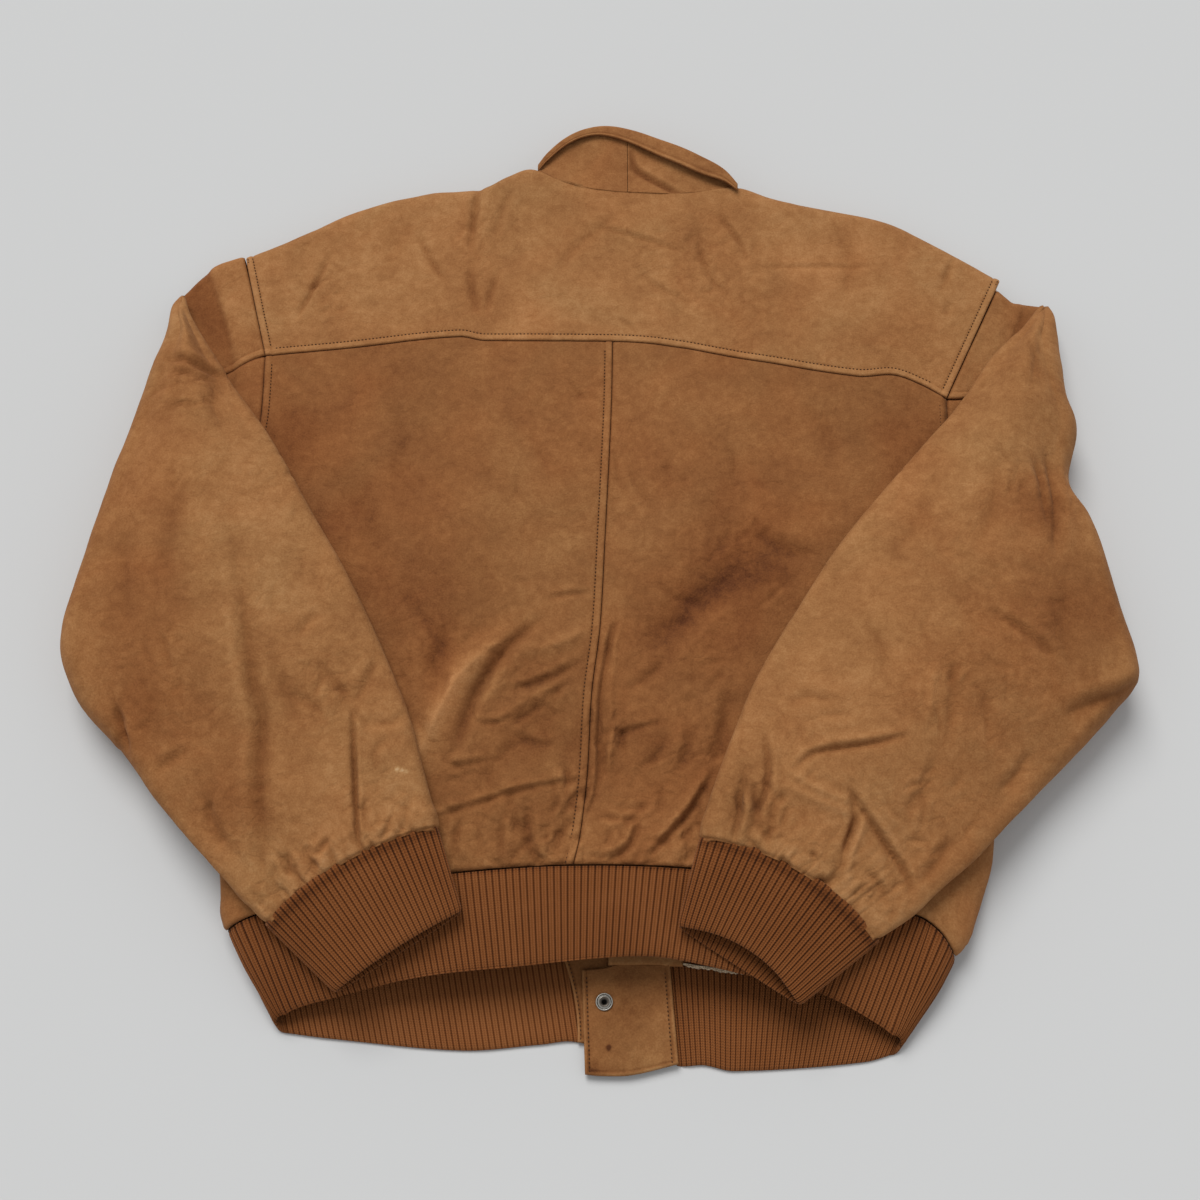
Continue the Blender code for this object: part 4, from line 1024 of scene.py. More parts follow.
FLOOR_SHARE = 0.6  # of the right front's columns lie on the floor, and the others come up the side
WRAP_LONG = 62
up_side = spaced(WRAP_LONG, 2.4, (False, True))
columns = joined(FLOOR_SHARE, spaced(250, FRONT_STEP, (True, False)), up_side)
u, v = np.meshgrid(columns, front_rows)
edge, y, turn, fraction = front_row(1, v)
flat = floor_point(1, u / FLOOR_SHARE, edge - SIDE_RADIUS * turn - SEAM, y)
around = right_wrap(share_of(u, FLOOR_SHARE, 1), edge, y, turn, fraction)
grid = np.where((u <= FLOOR_SHARE)[..., None], flat, around)
x, y, z = np.moveaxis(grid, -1, 0)
on_top = off_floor(z)
beside_seam = (1 - u) / (1 - FLOOR_SHARE) * WRAP_LONG
seam, shade = turned_seam(beside_seam, np.where(turn > 0.5, on_top, 0))
puckers, pucker_shading = gathered(x, y - hem_seam(x), 23)
lift = on_top * (relief(x, y) + puckers) + seam
lift += (1 - on_top) * np.minimum(creased(x, y, FRONT_CREASES), 0)
tone, warm = toned(x, y, BACK_PATCHES)
tone, warm = (tone + pucker_shading) * on_top + shade, warm * on_top
front_right = cloth("leather_front_right", grid, lift, tone, warm, front_suede, LEATHER, turned=True)
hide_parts("front_right")

# ---------------------------------------------------------------- waistband
# One long strip of two-by-two rib, doubled along its lower edge and sewn to the body. It runs from the
# left tab under the body, round both sides and over the back, where it stands open.
RIB = 2.6  # thickness
RIB_PITCH = 4.6
KNIT_ROW = 1.9  # height of one stitch of the knit
WAIST_EDGE = [  # x, y
    (-227, -356),
    (-216, -345),
    (-183, -336),
    (-124, -323),
    (-54, -316),
    (8, -310),
    (45, -310),
    (101, -321),
    (157, -334),
    (200, -356),
    (214, -369),
]
FRONT_EDGE = [  # x, y
    (-227, -357),
    (-187, -362),
    (-95, -370),
    (-40, -366),
    (-16, -364),
    (57, -380.5),
    (75, -380),
    (96, -384),
    (187, -378),
    (216, -370),
]
WAIST_FOLD = 13.0  # height of the open edge at its side folds
WAIST_RADIUS = 8.0
MOUTH = 36.0  # height that it stands open in the middle
WAIST_DEEP = 75  # length of its ribs
WAIST_LEFT, WAIST_RIGHT = WAIST_EDGE[0][0], WAIST_EDGE[-1][0]
TAB_LEFT_EDGE = (-17.0, -8.0)
TAB_RIGHT_EDGE = (49.5, 56.0)
WRAP_STRIP = 0.24

waist_edge, front_edge = smooth(WAIST_EDGE), smooth(FRONT_EDGE)
# Lift across one rib of two wales, from groove to groove, in millimetres.
RIB_PROFILE = np.array([-0.95, -0.05, 0.3, 0.05, -0.45, 0.05, 0.3, -0.05])


def mouth(x):
    share = 2 * share_of(x, WAIST_LEFT, WAIST_RIGHT) - 1
    return WAIST_FOLD + (MOUTH - WAIST_FOLD) * (1 - np.abs(share) ** 2.4)


def fold_point(side, share):
    """Round a side fold of the waistband at its open edge: 0 on top, 1 underneath."""
    inner = (WAIST_LEFT if side < 0 else WAIST_RIGHT) - side * WAIST_RADIUS
    angle = pi * share
    y = mix(waist_edge(inner), front_edge(inner), (1 - np.cos(angle)) / 2)
    return at(inner + side * WAIST_RADIUS * np.sin(angle), y, mouth(inner) / 2 * (1 + np.cos(angle)))


KNIT_RAMP = [  # position, colour: from painted shade in the grooves to painted light on the tops of the wales
    (0.17, (0.036, 0.010, 0.0025)),
    (0.52, (0.165, 0.0505, 0.0120)),
    (0.95, (0.305, 0.116, 0.038)),
]
KNIT_BASE = -0.145  # balances what the textures add


def knit(name):
    """Rib knit of soft brown yarn with small slanted stitches, painted light on its wales and painted shade
    in its grooves.
    """
    material, tree, shader = new_material(name, 0.95, 0.25, (0.75, 0.45, 0.3))
    uv = add(tree, "ShaderNodeUVMap", uv_map="ribs").outputs["UV"]
    where = place_of(tree)
    split = add(tree, "ShaderNodeSeparateXYZ", {0: uv})
    half, quarter = (maths(tree, "PINGPONG", split.outputs[0], width) for width in (0.5, 0.25))
    loops = maths(tree, "PINGPONG", times_plus(tree, quarter, 2.2, split.outputs[1]), 0.5)
    fuzz, cloud = noise(tree, where, 1300, 3), noise(tree, where, 24, 3, 0.8)
    value = times_plus(tree, painted(tree, "tone"), 0.5, KNIT_BASE)
    for texture, weight in ((quarter, 1.45), (half, 0.7), (loops, 0.26), (fuzz, 0.30), (cloud, 0.20)):
        value = times_plus(tree, texture, weight, value)
    coloured(tree, shader, value, KNIT_RAMP)
    bumped(tree, shader, (loops, 0.0007, 0.8), (fuzz, 0.0004, 0.5))
    return material


def ribbed(ribs):
    """The lift of a number of ribs side by side."""
    return np.append(np.tile(RIB_PROFILE, ribs), RIB_PROFILE[0])[None]


def waist_lines():
    """The waistband's seam and its free edge all round, as two rows of points."""
    left, _, right, _ = back_width(np.array(0.0))
    inner_left, inner_right = left + SIDE_RADIUS, right - SIDE_RADIUS
    fold_left, fold_right = WAIST_LEFT + WAIST_RADIUS, WAIST_RIGHT - WAIST_RADIUS
    run = np.linspace(0, 1, 60)
    zero = 0 * run

    def on_floor(x, low):
        return at(x, front_seam(x), 0.0), at(low, front_edge(low), 0.0)

    def on_top(points):
        low = mix(fold_left, fold_right, share_of(points[..., 0], inner_left, inner_right))
        return points, at(low, waist_edge(low), mouth(low))

    under = left_line(np.zeros(1), np.zeros(1))[0, 0]
    stretches = [on_floor(mix(TAB_LEFT_EDGE[0], under, run), mix(TAB_LEFT_EDGE[1], fold_left, run))]
    stretches.append((left_line(ROLL_SHARE * run * 0.999, zero), fold_point(-1, 1 - run)))
    stretches.append(on_top(left_line(mix(ROLL_SHARE, 1, run), zero)))
    stretches.append(on_top(right_line(run, zero)))
    wrap = right_wrap(1 - run, zero + right, zero + back_y(1.0, 0.0), zero + 1, zero)
    top_part = run < WRAP_STRIP
    stretches.append(on_top(wrap[top_part]))
    stretches.append((wrap[~top_part], fold_point(1, share_of(run[~top_part], WRAP_STRIP, 1))))
    seam_x, low_x = mix(inner_right, TAB_RIGHT_EDGE[0], run), mix(fold_right, TAB_RIGHT_EDGE[1], run)
    stretches.append(on_floor(seam_x, low_x))
    return [np.concatenate(parts) for parts in zip(*stretches)]


seam_line, edge_line = waist_lines()
middle_line = (seam_line + edge_line) / 2
steps = np.linalg.norm(np.diff(middle_line, axis=0), axis=1)
on_floor = part_way(middle_line[1:, 2], 9, 1)
squeezed = 1 + on_floor * np.where(middle_line[1:, 0] > 0, 0.2, 0.07)  # ribs closer on the floor
reach = np.concatenate([[0], np.cumsum(steps * squeezed)])
ribs = round(reach[-1] / RIB_PITCH)
rib_at = np.linspace(0, reach[-1], ribs * len(RIB_PROFILE) + 1)
seam_line, edge_line = (
    np.stack([np.interp(rib_at, reach, line[:, c]) for c in range(3)], -1)
    for line in (seam_line, edge_line)
)
down = np.array([0.0, 0.015, 0.04, 0.09, 0.18, 0.3, 0.42, 0.55, 0.67, 0.79, 0.89, 0.95, 0.98, 1.0])[::-1]
grid = mix(seam_line[None], edge_line[None], mix(0.012, 1, down)[:, None, None])
profile = ribbed(ribs)
lengths = WAIST_DEEP * (1 - down)[:, None]
raised = part_way(grid[..., 2], 1, 8)
sag = 1.1 * uneven(rib_at[None], lengths, 70, 31) + 0.5 * uneven(rib_at[None], lengths, 24, 32)
edges = -1.3 * hump(WAIST_DEEP * (1 - down), 1.6)[:, None] - 1.0 * hump(WAIST_DEEP * down, 2.2)[:, None]
lift = raised * (profile + sag + 1.4 * np.sin(pi * down)[:, None] + edges)
ends = hump(np.minimum(rib_at, reach[-1] - rib_at)[None], 8)
inside = 0.9 * profile + (1 - raised) * (0.5 + 0.5 * sag) + edges - 1.3 * ends
# Its tone is painted: paler on the part that lies on the floor at the left, as light where the open back's
# shade falls, and a painted shadow line along the seam under the leather's edge.
tone = 0.08 + (1 - raised) * np.where(grid[..., 0] < 20, 0.20, 0.0) - 0.12 * hump(grid[..., 0] + 225, 45)
tone = tone + 0.06 * uneven(rib_at[None], lengths, 60, 33) - 0.4 * hump(WAIST_DEEP * down, 2.6)[:, None]
rib_knit = knit("rib knit")
across_ribs = (rib_at / reach[-1] * ribs)[None]
knitted = (across_ribs, lengths / KNIT_ROW)
waistband = cloth("rib_waistband", grid, lift, tone, 0, rib_knit, RIB, knitted=knitted, inside=inside)
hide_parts("waistband")

# ---------------------------------------------------------------- hem tabs, facing and snap
# Leather tabs end the waistband at the centre front, one over the other, with a snap's back on the upper
# one. Above them the right front's facing shows, and beside it a torn edge of interlining.
TAB_RIGHT = [  # x along the top, top y, x along the bottom, bottom y
    (-11, -315, -8.5, -386.5),
    (7, -313, 2, -387.5),
    (14, -311, 24, -387),
    (52, -311, 57, -379.5),
]
TAB_LEFT = [(-25.5, -303, -13.7, -364.5), (-14, -302, -6, -365), (52, -302, 50, -365)]
FACING = [(8, -299, 8, -311.6), (34, -299, 34, -311.8), (61, -300, 61, -312.4)]
SHREDS_THICK = 0.7
SHREDS = [(61, -309.6, 61, -311.6), (84, -313, 84, -315.2), (105, -317, 105, -318.2)]
TAB_LEFT_WIDE, TAB_RIGHT_WIDE, TAB_LONG = 74, 66, 74
TAB_HEIGHT = 6.0  # outer height of the upper tab: two layers and the gap between them
SNAP_AT = (5.0, -337.0)
SNAP_RADIUS = 0.0061  # metres
SNAP_PROFILE = [  # radius, height above the tab
    (6.1, -0.3),
    (6.15, 0.5),
    (5.85, 0.95),
    (5.45, 1.0),
    (5.15, 0.6),
    (4.85, 0.25),
    (4.5, 0.3),
    (4.2, 0.75),
    (3.7, 0.95),
    (3.0, 0.9),
    (2.4, 0.7),
    (2.0, 0.35),
    (1.8, -0.1),
    (0.2, -0.15),
    (0.2, -0.3),
]
SNAP_RINGS = [  # fraction of its radius, colour: hollow painted as shade, tarnished cap, ring, gap, ring
    (0.27, (0.006, 0.005, 0.004)),
    (0.33, (0.090, 0.076, 0.062)),
    (0.62, (0.110, 0.092, 0.074)),
    (0.67, (0.420, 0.400, 0.360)),
    (0.75, (0.420, 0.400, 0.360)),
    (0.79, (0.030, 0.025, 0.020)),
    (0.86, (0.030, 0.025, 0.020)),
    (0.90, (0.400, 0.380, 0.340)),
]
LINEN_COLOURS = [(0.3, (0.22, 0.13, 0.07)), (0.6, (0.80, 0.62, 0.42))]
TAB_PATCHES = [  # x, y, reach, tone, warmth
    (8, -368.5, 1.8, -1.3, 0.2),
    (0, -350, 14, -0.10, 0.2),
    (26, -344, 14, -0.22, 0.1),
    (44, -356, 16, 0.18, -0.5),
    (20, -325, 14, -0.1, 0.1),
    (36, -378, 12, 0.16, -0.4),
    (2, -330, 12, 0.12, -0.2),
    (-4, -384, 7, -0.5, 0.1),
]
tab_suede = suede("tab suede", 0.425, -0.25)


def ruled(rows, top, across, along):
    """A strip ruled between its lower and its upper edge."""
    upper, lower = smooth([row[:2] for row in rows]), smooth([row[2:] for row in rows])
    u, v = np.meshgrid(across, along)
    x_up, x_low = mix(rows[0][0], rows[-1][0], u), mix(rows[0][2], rows[-1][2], u)
    return mix(at(x_low, lower(x_low), top), at(x_up, upper(x_up), top), v[..., None]), u, v


def edged(u, v, wide, long):
    """Lift and tone of a flat tab: turned edges, with a row of stitches near them."""
    edge = np.minimum(np.minimum(u, 1 - u) * wide, v * long)
    lift = -0.9 * hump(edge, 0.7) + 0.3 * hump(edge - 1.3, 0.9) - 0.4 * hump(edge - 3.2, 0.8)
    # The tone is pale at the turned edge and painted darker along the stitch line, as shade in its ditch.
    return lift, 0.32 * hump(edge - 0.6, 0.9) - 0.3 * hump(edge - 3.2, 0.7)


across, along = (spaced(length, 1.6, (True, False)) for length in (TAB_LEFT_WIDE, 62))
grid, u, v = ruled(TAB_LEFT, 2.4, across, along)
grid[..., 0] += 12.8 * v * (1 - v) * (1 - u)
grid[..., 2] += 2.2 * hump(u * TAB_LEFT_WIDE, 8)
lift, shade = edged(u, v, TAB_LEFT_WIDE, 52)
tab_left = cloth("leather_tab_left", grid, lift, shade, 0, tab_suede, LEATHER)
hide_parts("hem_tab_left")
tab_rows = [("under", grid[:, 4])]

across, along = spaced(TAB_RIGHT_WIDE, 1.0, (True, True)), spaced(TAB_LONG, 1.0, (True, False))
grid, u, v = ruled(TAB_RIGHT, TAB_HEIGHT, across, along)
lift, shade = edged(u, v, TAB_RIGHT_WIDE, TAB_LONG)
x, y = grid[..., 0], grid[..., 1]
lift = lift + 0.35 * uneven(x, y, 16, 41) + 0.15 * uneven(x, y, 6, 42)
from_snap = np.hypot(x - SNAP_AT[0], y - SNAP_AT[1])
lift = lift - 0.7 * hump(from_snap - 6, 2.0) - 1.3 * (0.5 - 0.5 * np.tanh((from_snap - 5.2) / 0.5))
tone, warm = toned(x, y, TAB_PATCHES)
tab_right = cloth("leather_tab_right", grid, lift, tone + shade, warm, tab_suede, LEATHER)
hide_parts("hem_tab_right")
for word, share in (("left", 0.05), ("right", 0.935)):
    tab_rows.append((word, grid[:, np.abs(u[0] - share).argmin()]))
for word, line in tab_rows:
    line = line[3:-2] + np.array([0.0, 0.0, 0.05])
    stitched(f"stitches_tab_{word}", line)

grid, u, v = ruled(FACING, TAB_HEIGHT + 0.7, spaced(53, 1.5), spaced(12, 0.9))
lift = -0.9 * hump(v * 12, 0.8)
# The facing is painted paler, as light, since it lies in shade, and painted darker where its lower edge
# dips, as shade.
facing = cloth("leather_facing_right", grid, lift, 0.35 + 0.4 * lift, 0, tab_suede, LEATHER)
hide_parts("facing_right")

linen, linen_tree, linen_shader = new_material("pale interlining", 0.95, 0.2, (1.0, 0.95, 0.85))
threads = noise(linen_tree, place_of(linen_tree), 700, 4, 1.5)
coloured(linen_tree, linen_shader, threads, LINEN_COLOURS)
grid, u, v = ruled(SHREDS, 5.2, np.linspace(0, 1, 61), np.linspace(0, 1, 7))
fray = uneven(60 * u, 0 * u, 1.6, 51) * 0.6 + uneven(60 * u, 0 * u, 7, 52) * 0.5
grid[..., 1] += (1 - v) * fray
lift = 0.3 * uneven(60 * u, 8 * v, 3, 53)
shreds = cloth("interlining_shreds", grid, lift, 0, 0, linen, SHREDS_THICK)
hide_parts("interlining_edge")

brass, brass_tree, brass_shader = new_material("aged snap metal", 0.38, 0.0, (1.0, 1.0, 1.0))
brass_shader.inputs["Metallic"].default_value = 0.6
brass_place = place_of(brass_tree)
inputs = {0: brass_place, 1: Vector((*SNAP_AT, TAB_HEIGHT)) * MM}
from_middle = add(brass_tree, "ShaderNodeVectorMath", inputs, operation="DISTANCE").outputs["Value"]
tarnish = noise(brass_tree, brass_place, 500, 2, 0.3)
ring_at = times_plus(brass_tree, tarnish, 0.06, times_plus(brass_tree, from_middle, 1 / SNAP_RADIUS, -0.03))
coloured(brass_tree, brass_shader, ring_at, SNAP_RINGS)
brass_tree.links.new(times_plus(brass_tree, tarnish, -0.3, 0.55), brass_shader.inputs["Roughness"])
bm = bmesh.new()
ring = [bm.verts.new((r, 0, z)) for r, z in SNAP_PROFILE]
for one, two in zip(ring, ring[1:] + ring[:1]):
    bm.edges.new((one, two))
profile = bm.verts[:] + bm.edges[:]
axis, middle = (0, 0, 1), (0, 0, 0)
bmesh.ops.spin(bm, geom=profile, axis=axis, cent=middle, angle=2 * pi, steps=40, use_merge=True)
bmesh.ops.recalc_face_normals(bm, faces=bm.faces[:])
bmesh.ops.translate(bm, verts=bm.verts, vec=(*SNAP_AT, TAB_HEIGHT))
bmesh.ops.scale(bm, vec=(MM, MM, MM), verts=bm.verts)
snap = finished("snap", bm, brass)
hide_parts("snap_back")

# ---------------------------------------------------------------- folded sleeves
# Each sleeve is folded over at the shoulder and lies across the back. Its outer edge rolls down to the
# floor, its inner edge lies on the back, and its end is gathered onto the cuff.
ROLL_AT, TOP_AT, INNER_AT, TUCK_AT = 0.1, 0.35, 0.7, 0.9  # round the section, as fractions
EDGE_RADIUS = 10.0
OUTER_RADIUS = 17.0
TUCK = 12.0  # how far the inner edge goes under
BOW_FROM = 0.8  # the cuff's bow is felt from this fraction down the sleeve
SLEEVES = {
    # fraction, outer x, y, inner x, y, base, outer height, crown, edge height, run under
    "left": [
        (0.00, -341, 226, -335, 220, 13, 18, 19, 4, 2),
        (0.03, -345, 213, -329, 204, 16, 27, 29, 8, 2),
        (0.10, -347, 187, -309, 172, 0, 42, 47, 15, 8),
        (0.20, -360, 133, -288, 138, 0, 46, 54, 16, 56),
        (0.35, -376, 60, -257, 94, 0, 50, 62, 17, 69),
        (0.48, -389, -8, -228, 42, 0, 52, 68, 18, 82),
        (0.62, -400.8, -76, -193, -17, 0, 52, 71, 18, 92),
        (0.72, -384, -124, -166, -68, 0, 48, 71, 18, 74),
        (0.82, -345, -166, -140, -127, 3, 46, 69, 18, 30),
        (0.91, -303, -217, -124, -180, 27, 48, 66, 18, 6),
        (1.00, -230, -289, -112, -222, 33, 48, 59, 17, 6),
    ],
    "right": [
        (0.00, 367, 215, 358, 211, 15, 20, 21, 4, 2),
        (0.03, 369, 202, 345, 194, 17, 30, 32, 9, 2),
        (0.12, 370, 158, 315, 165, 0, 42, 48, 15, 8),
        (0.20, 371, 128, 298, 140, 0, 46, 55, 16, 44),
        (0.29, 376, 96, 280, 115, 0, 49, 60, 17, 60),
        (0.36, 366, 50, 256, 86, 0, 50, 64, 18, 53),
        (0.42, 379, 22, 238, 64, 0, 50, 66, 18, 66),
        (0.60, 393, -50, 178, -12, 0, 52, 71, 18, 78),
        (0.72, 401, -108, 134, -80, 0, 52, 72, 18, 85),
        (0.80, 376, -137, 111, -120, 0, 48, 72, 18, 24),
        (0.86, 333, -180, 97, -154, 10, 46, 71, 18, 5),
        (0.90, 302, -210, 89, -174, 28, 48, 69, 18, 5),
        (0.95, 258, -250, 79, -203, 33, 49, 65, 18, 6),
        (1.00, 194, -301, 72, -230, 33, 49, 60, 17, 6),
    ],
}
CUFFS = {  # both ends of its seam and of its opening; how far it bows towards the sleeve and gapes
    "left": {
        "seam": ((-230, -290), (-112, -223)),
        "opening": ((-182, -334), (-94, -280)),
        "bow": 9,
        "gape": 0.03,
    },
    "right": {
        "seam": ((194, -302), (72, -231)),
        "opening": ((140, -343), (56, -290)),
        "bow": 13,
        "gape": 0.18,
    },
}
SLEEVE_CREASES = {
    "left": [
        (6, 2.6, -1.4, [(-260, -44), (-248, -116), (-239, -148), (-239, -197), (-233, -254)]),
        (2.0, 3.2, 0.6, [(-175, -139), (-173, -162), (-170, -199), (-166, -236), (-159, -243)]),
        (4, 2.0, 0.8, [(-345, 155), (-325, 151), (-308, 146), (-291, 143)]),
        (3, 1.2, 0.5, [(-340, 144), (-322, 138), (-304, 136)]),
        (4, 1.4, 0.5, [(-176, -140), (-186, -120), (-204, -104)]),
        (4, 1.2, 0.4, [(-176, -136), (-164, -112), (-160, -94)]),
        (4, 1.2, 0.4, [(-318, -180), (-306, -172), (-294, -167)]),
        (6, 1.5, 0.3, [(-236, -98), (-224, -122), (-212, -148)]),
        (4, 1.2, 0.3, [(-204, -64), (-212, -74), (-217, -84)]),
        (4, 3.4, 0.8, [(-350, -132), (-346, -146), (-341, -164)]),
        (4, 1.0, 0.3, [(-320, -80), (-312, -96), (-306, -112)]),
        (11, 1.6, 0, [(-322, 60), (-316, 10), (-318, -40)]),
        (8, 1.3, 0, [(-280, 20), (-266, -20), (-262, -60)]),
        (12, 1.6, 0, [(-350, 20), (-352, -30), (-344, -70)]),
        (3, 1.0, 0.3, [(-196, -116), (-184, -124), (-172, -122)]),
        (3, 0.9, 0.3, [(-150, -160), (-158, -170), (-156, -184)]),
        (4, 1.1, 0.3, [(-138, -140), (-150, -148), (-166, -146)]),
        (5, 1.3, 0.4, [(-282, -196), (-272, -220), (-256, -240)]),
        (3, 1.2, 0.5, [(-206, -236), (-199, -250), (-196, -260)]),
        (3, 1.1, 0.4, [(-190, -232), (-184, -244), (-182, -254)]),
        (2.5, 1.2, 0.5, [(-222, -262), (-216, -270), (-214, -276)]),
        (3, 1.2, 0.4, [(-136, -206), (-134, -216), (-136, -226)]),
        (9, 1.3, 0, [(-330, 160), (-326, 120), (-334, 84)]),
        (6, 1.4, 0, [(-300, 140), (-296, 110), (-286, 84)]),
    ],
    "right": [
        (2.6, 2.2, 0.8, [(139, -183), (153, -172), (168, -169), (192, -166), (220, -160)]),
        (3, -1.4, 0, [(135, -184), (154, -197), (178, -207)]),
        (2.6, 2.2, 1.0, [(180, -202), (180, -221), (173, -240), (170, -256)]),
        (6, 2.4, -0.8, [(402, -110), (379, -124), (357, -131), (338, -140)]),
        (3, 2.3, 0.8, [(118, -154), (121, -180), (117, -202), (108, -218)]),
        (3, 2.5, 0.9, [(105, -177), (99, -216), (95, -234)]),
        (2.8, 2.8, 0.9, [(176, -196), (187, -214), (202, -236), (216, -256), (220, -270)]),
        (3, 1.7, 0.6, [(187, -212), (179, -225), (173, -239)]),
        (3.4, 1.8, -0.8, [(110, -192), (112, -214), (106, -230)]),
        (2.6, 1.5, 0.6, [(186, -252), (196, -262), (202, -276)]),
        (2.8, 1.6, 0.7, [(124, -206), (122, -222), (118, -236)]),
        (5, -1.6, 0, [(122, -190), (140, -199), (155, -206), (178, -214)]),
        (4, 1.6, 0.6, [(283, -64), (312, -83), (334, -100)]),
        (4, -1.2, 0, [(244, -104), (238, -134), (240, -160)]),
        (5, 1.2, 0.3, [(256, -106), (254, -134), (250, -162)]),
        (5, 1.2, 0.3, [(276, -126), (279, -146), (281, -166)]),
        (5, 2.2, 0.7, [(344, 70), (346, 28), (341, -18)]),
        (4, 1.4, 0.5, [(334, 60), (336, 30), (338, 6)]),
        (2.6, 1.8, 0.7, [(127, -244), (131, -250), (135, -257)]),
        (2.6, 1.7, 0.7, [(150, -258), (158, -262), (168, -256)]),
        (2.6, 1.3, 0.5, [(106, -232), (110, -238), (114, -242)]),
        (4, 1.1, 0.3, [(136, -134), (150, -130), (172, -134)]),
        (6, 1.3, 0.3, [(214, -214), (232, -196), (240, -172)]),
        (5, 1.4, 0.4, [(222, -262), (236, -250), (252, -228)]),
        (9, 1.5, 0, [(300, 60), (296, 20), (276, -20)]),
        (10, 1.5, 0, [(250, 40), (236, 4), (216, -24)]),
        (10, 1.4, 0, [(346, -40), (340, -80), (346, -112)]),
        (5, 1.4, 0.4, [(286, -196), (300, -184), (312, -166)]),
        (7, 1.4, 0, [(340, 176), (344, 150), (334, 120)]),
        (6, 1.3, 0.3, [(196, -72), (206, -96), (204, -120)]),
    ],
}
SLEEVE_CRINKLES = {
    "left": [
        (-210, -262, 26, 14, 105, 16, 1.2),
        (-150, -216, 24, 9, 95, 18, 1.0),
        (-186, -120, 30, 9, 120, 26, 0.8),
        (-250, -60, 44, 9, 110, 28, 0.5),
        (-316, 130, 30, 8, 20, 24, 0.7),
        (-270, 60, 44, 7, 60, 28, 0.5),
        (-320, -120, 40, 8, 60, 26, 0.5),
        (-262, -220, 30, 8, 80, 24, 0.6),
    ],
    "right": [
        (112, -206, 22, 11, 100, 24, 0.9),
        (150, -246, 22, 9, 80, 18, 0.8),
        (196, -262, 22, 7, 60, 22, 0.7),
        (190, -212, 28, 6, 120, 26, 0.6),
        (150, -170, 30, 7, 30, 26, 0.6),
        (260, -120, 44, 9, 100, 28, 0.6),
        (300, -70, 40, 8, 140, 26, 0.6),
        (330, 40, 26, 7, 85, 30, 0.7),
        (240, 20, 44, 7, 50, 28, 0.4),
        (320, 150, 30, 5, 50, 24, 0.4),
        (240, -210, 30, 8, 50, 24, 0.6),
    ],
}
SLEEVE_PATCHES = {
    "left": [
        (-352, 40, 55, -0.10, 0.3),
        (-340, -50, 55, -0.28, 0.4),
        (-300, -130, 55, -0.10, 0.4),
        (-330, -130, 18, -0.18, 0.4),
        (-268, -180, 36, -0.14, 0.4),
        (-248, -210, 18, -0.14, 0.2),
        (-280, 60, 40, 0.08, -0.3),
        (-262, 0, 40, 0.08, -0.3),
        (-236, -50, 40, 0.08, -0.4),
        (-160, -160, 36, 0.02, -0.3),
        (-134, -200, 26, 0.08, -0.4),
        (-200, -250, 34, 0.10, -0.1),
        (-256, -262, 26, 0.10, 0.0),
        (-200, -130, 30, -0.08, 0.2),
        (-330, 190, 40, 0.04, -0.1),
        (-396, -70, 22, 0.12, -0.2),
        (-330, 120, 40, -0.04, 0.0),
        (-142, -182, 1.5, 0.9, -1.5),
        (-138.5, -182.5, 1.4, 0.8, -1.5),
        (-135.5, -183.5, 1.2, 0.7, -1.5),
    ],
    "right": [
        (345, 120, 40, -0.12, 0.3),
        (336, 20, 22, -0.36, 0.6),
        (290, 60, 36, 0.02, -0.2),
        (250, 10, 40, -0.08, -0.1),
        (200, -60, 40, -0.05, -0.2),
        (300, -60, 45, -0.14, 0.4),
        (370, -50, 50, -0.50, 0.3),
        (260, -130, 45, -0.12, 0.3),
        (340, -130, 36, -0.14, 0.3),
        (190, -130, 34, 0.04, -0.2),
        (130, -140, 26, 0.0, 0.1),
        (176, -226, 26, 0.16, -0.1),
        (140, -190, 30, -0.04, -0.1),
        (210, -200, 30, 0.02, 0.0),
        (200, -280, 30, 0.10, 0.0),
        (100, -205, 26, -0.14, 0.1),
        (250, -240, 34, 0.02, 0.1),
        (350, 156, 24, 0.14, -0.2),
    ],
}
SLEEVE_LONG, SLEEVE_ROUND = 600, 460
SLEEVE_ROW = 2.75  # spacing of its rows


def bow_way(cuff):
    """The direction in which a cuff's seam bows, as x and y."""
    (ax, ay), (bx, by) = cuff["seam"]
    across = Vector((bx - ax, by - ay)).normalized()
    return (-across.y, across.x) if ax < bx else (across.y, -across.x)


def bow_of(cuff, share):
    """How far the seam bows at a share of the way across."""
    return cuff["bow"] * 4 * share * (1 - share)


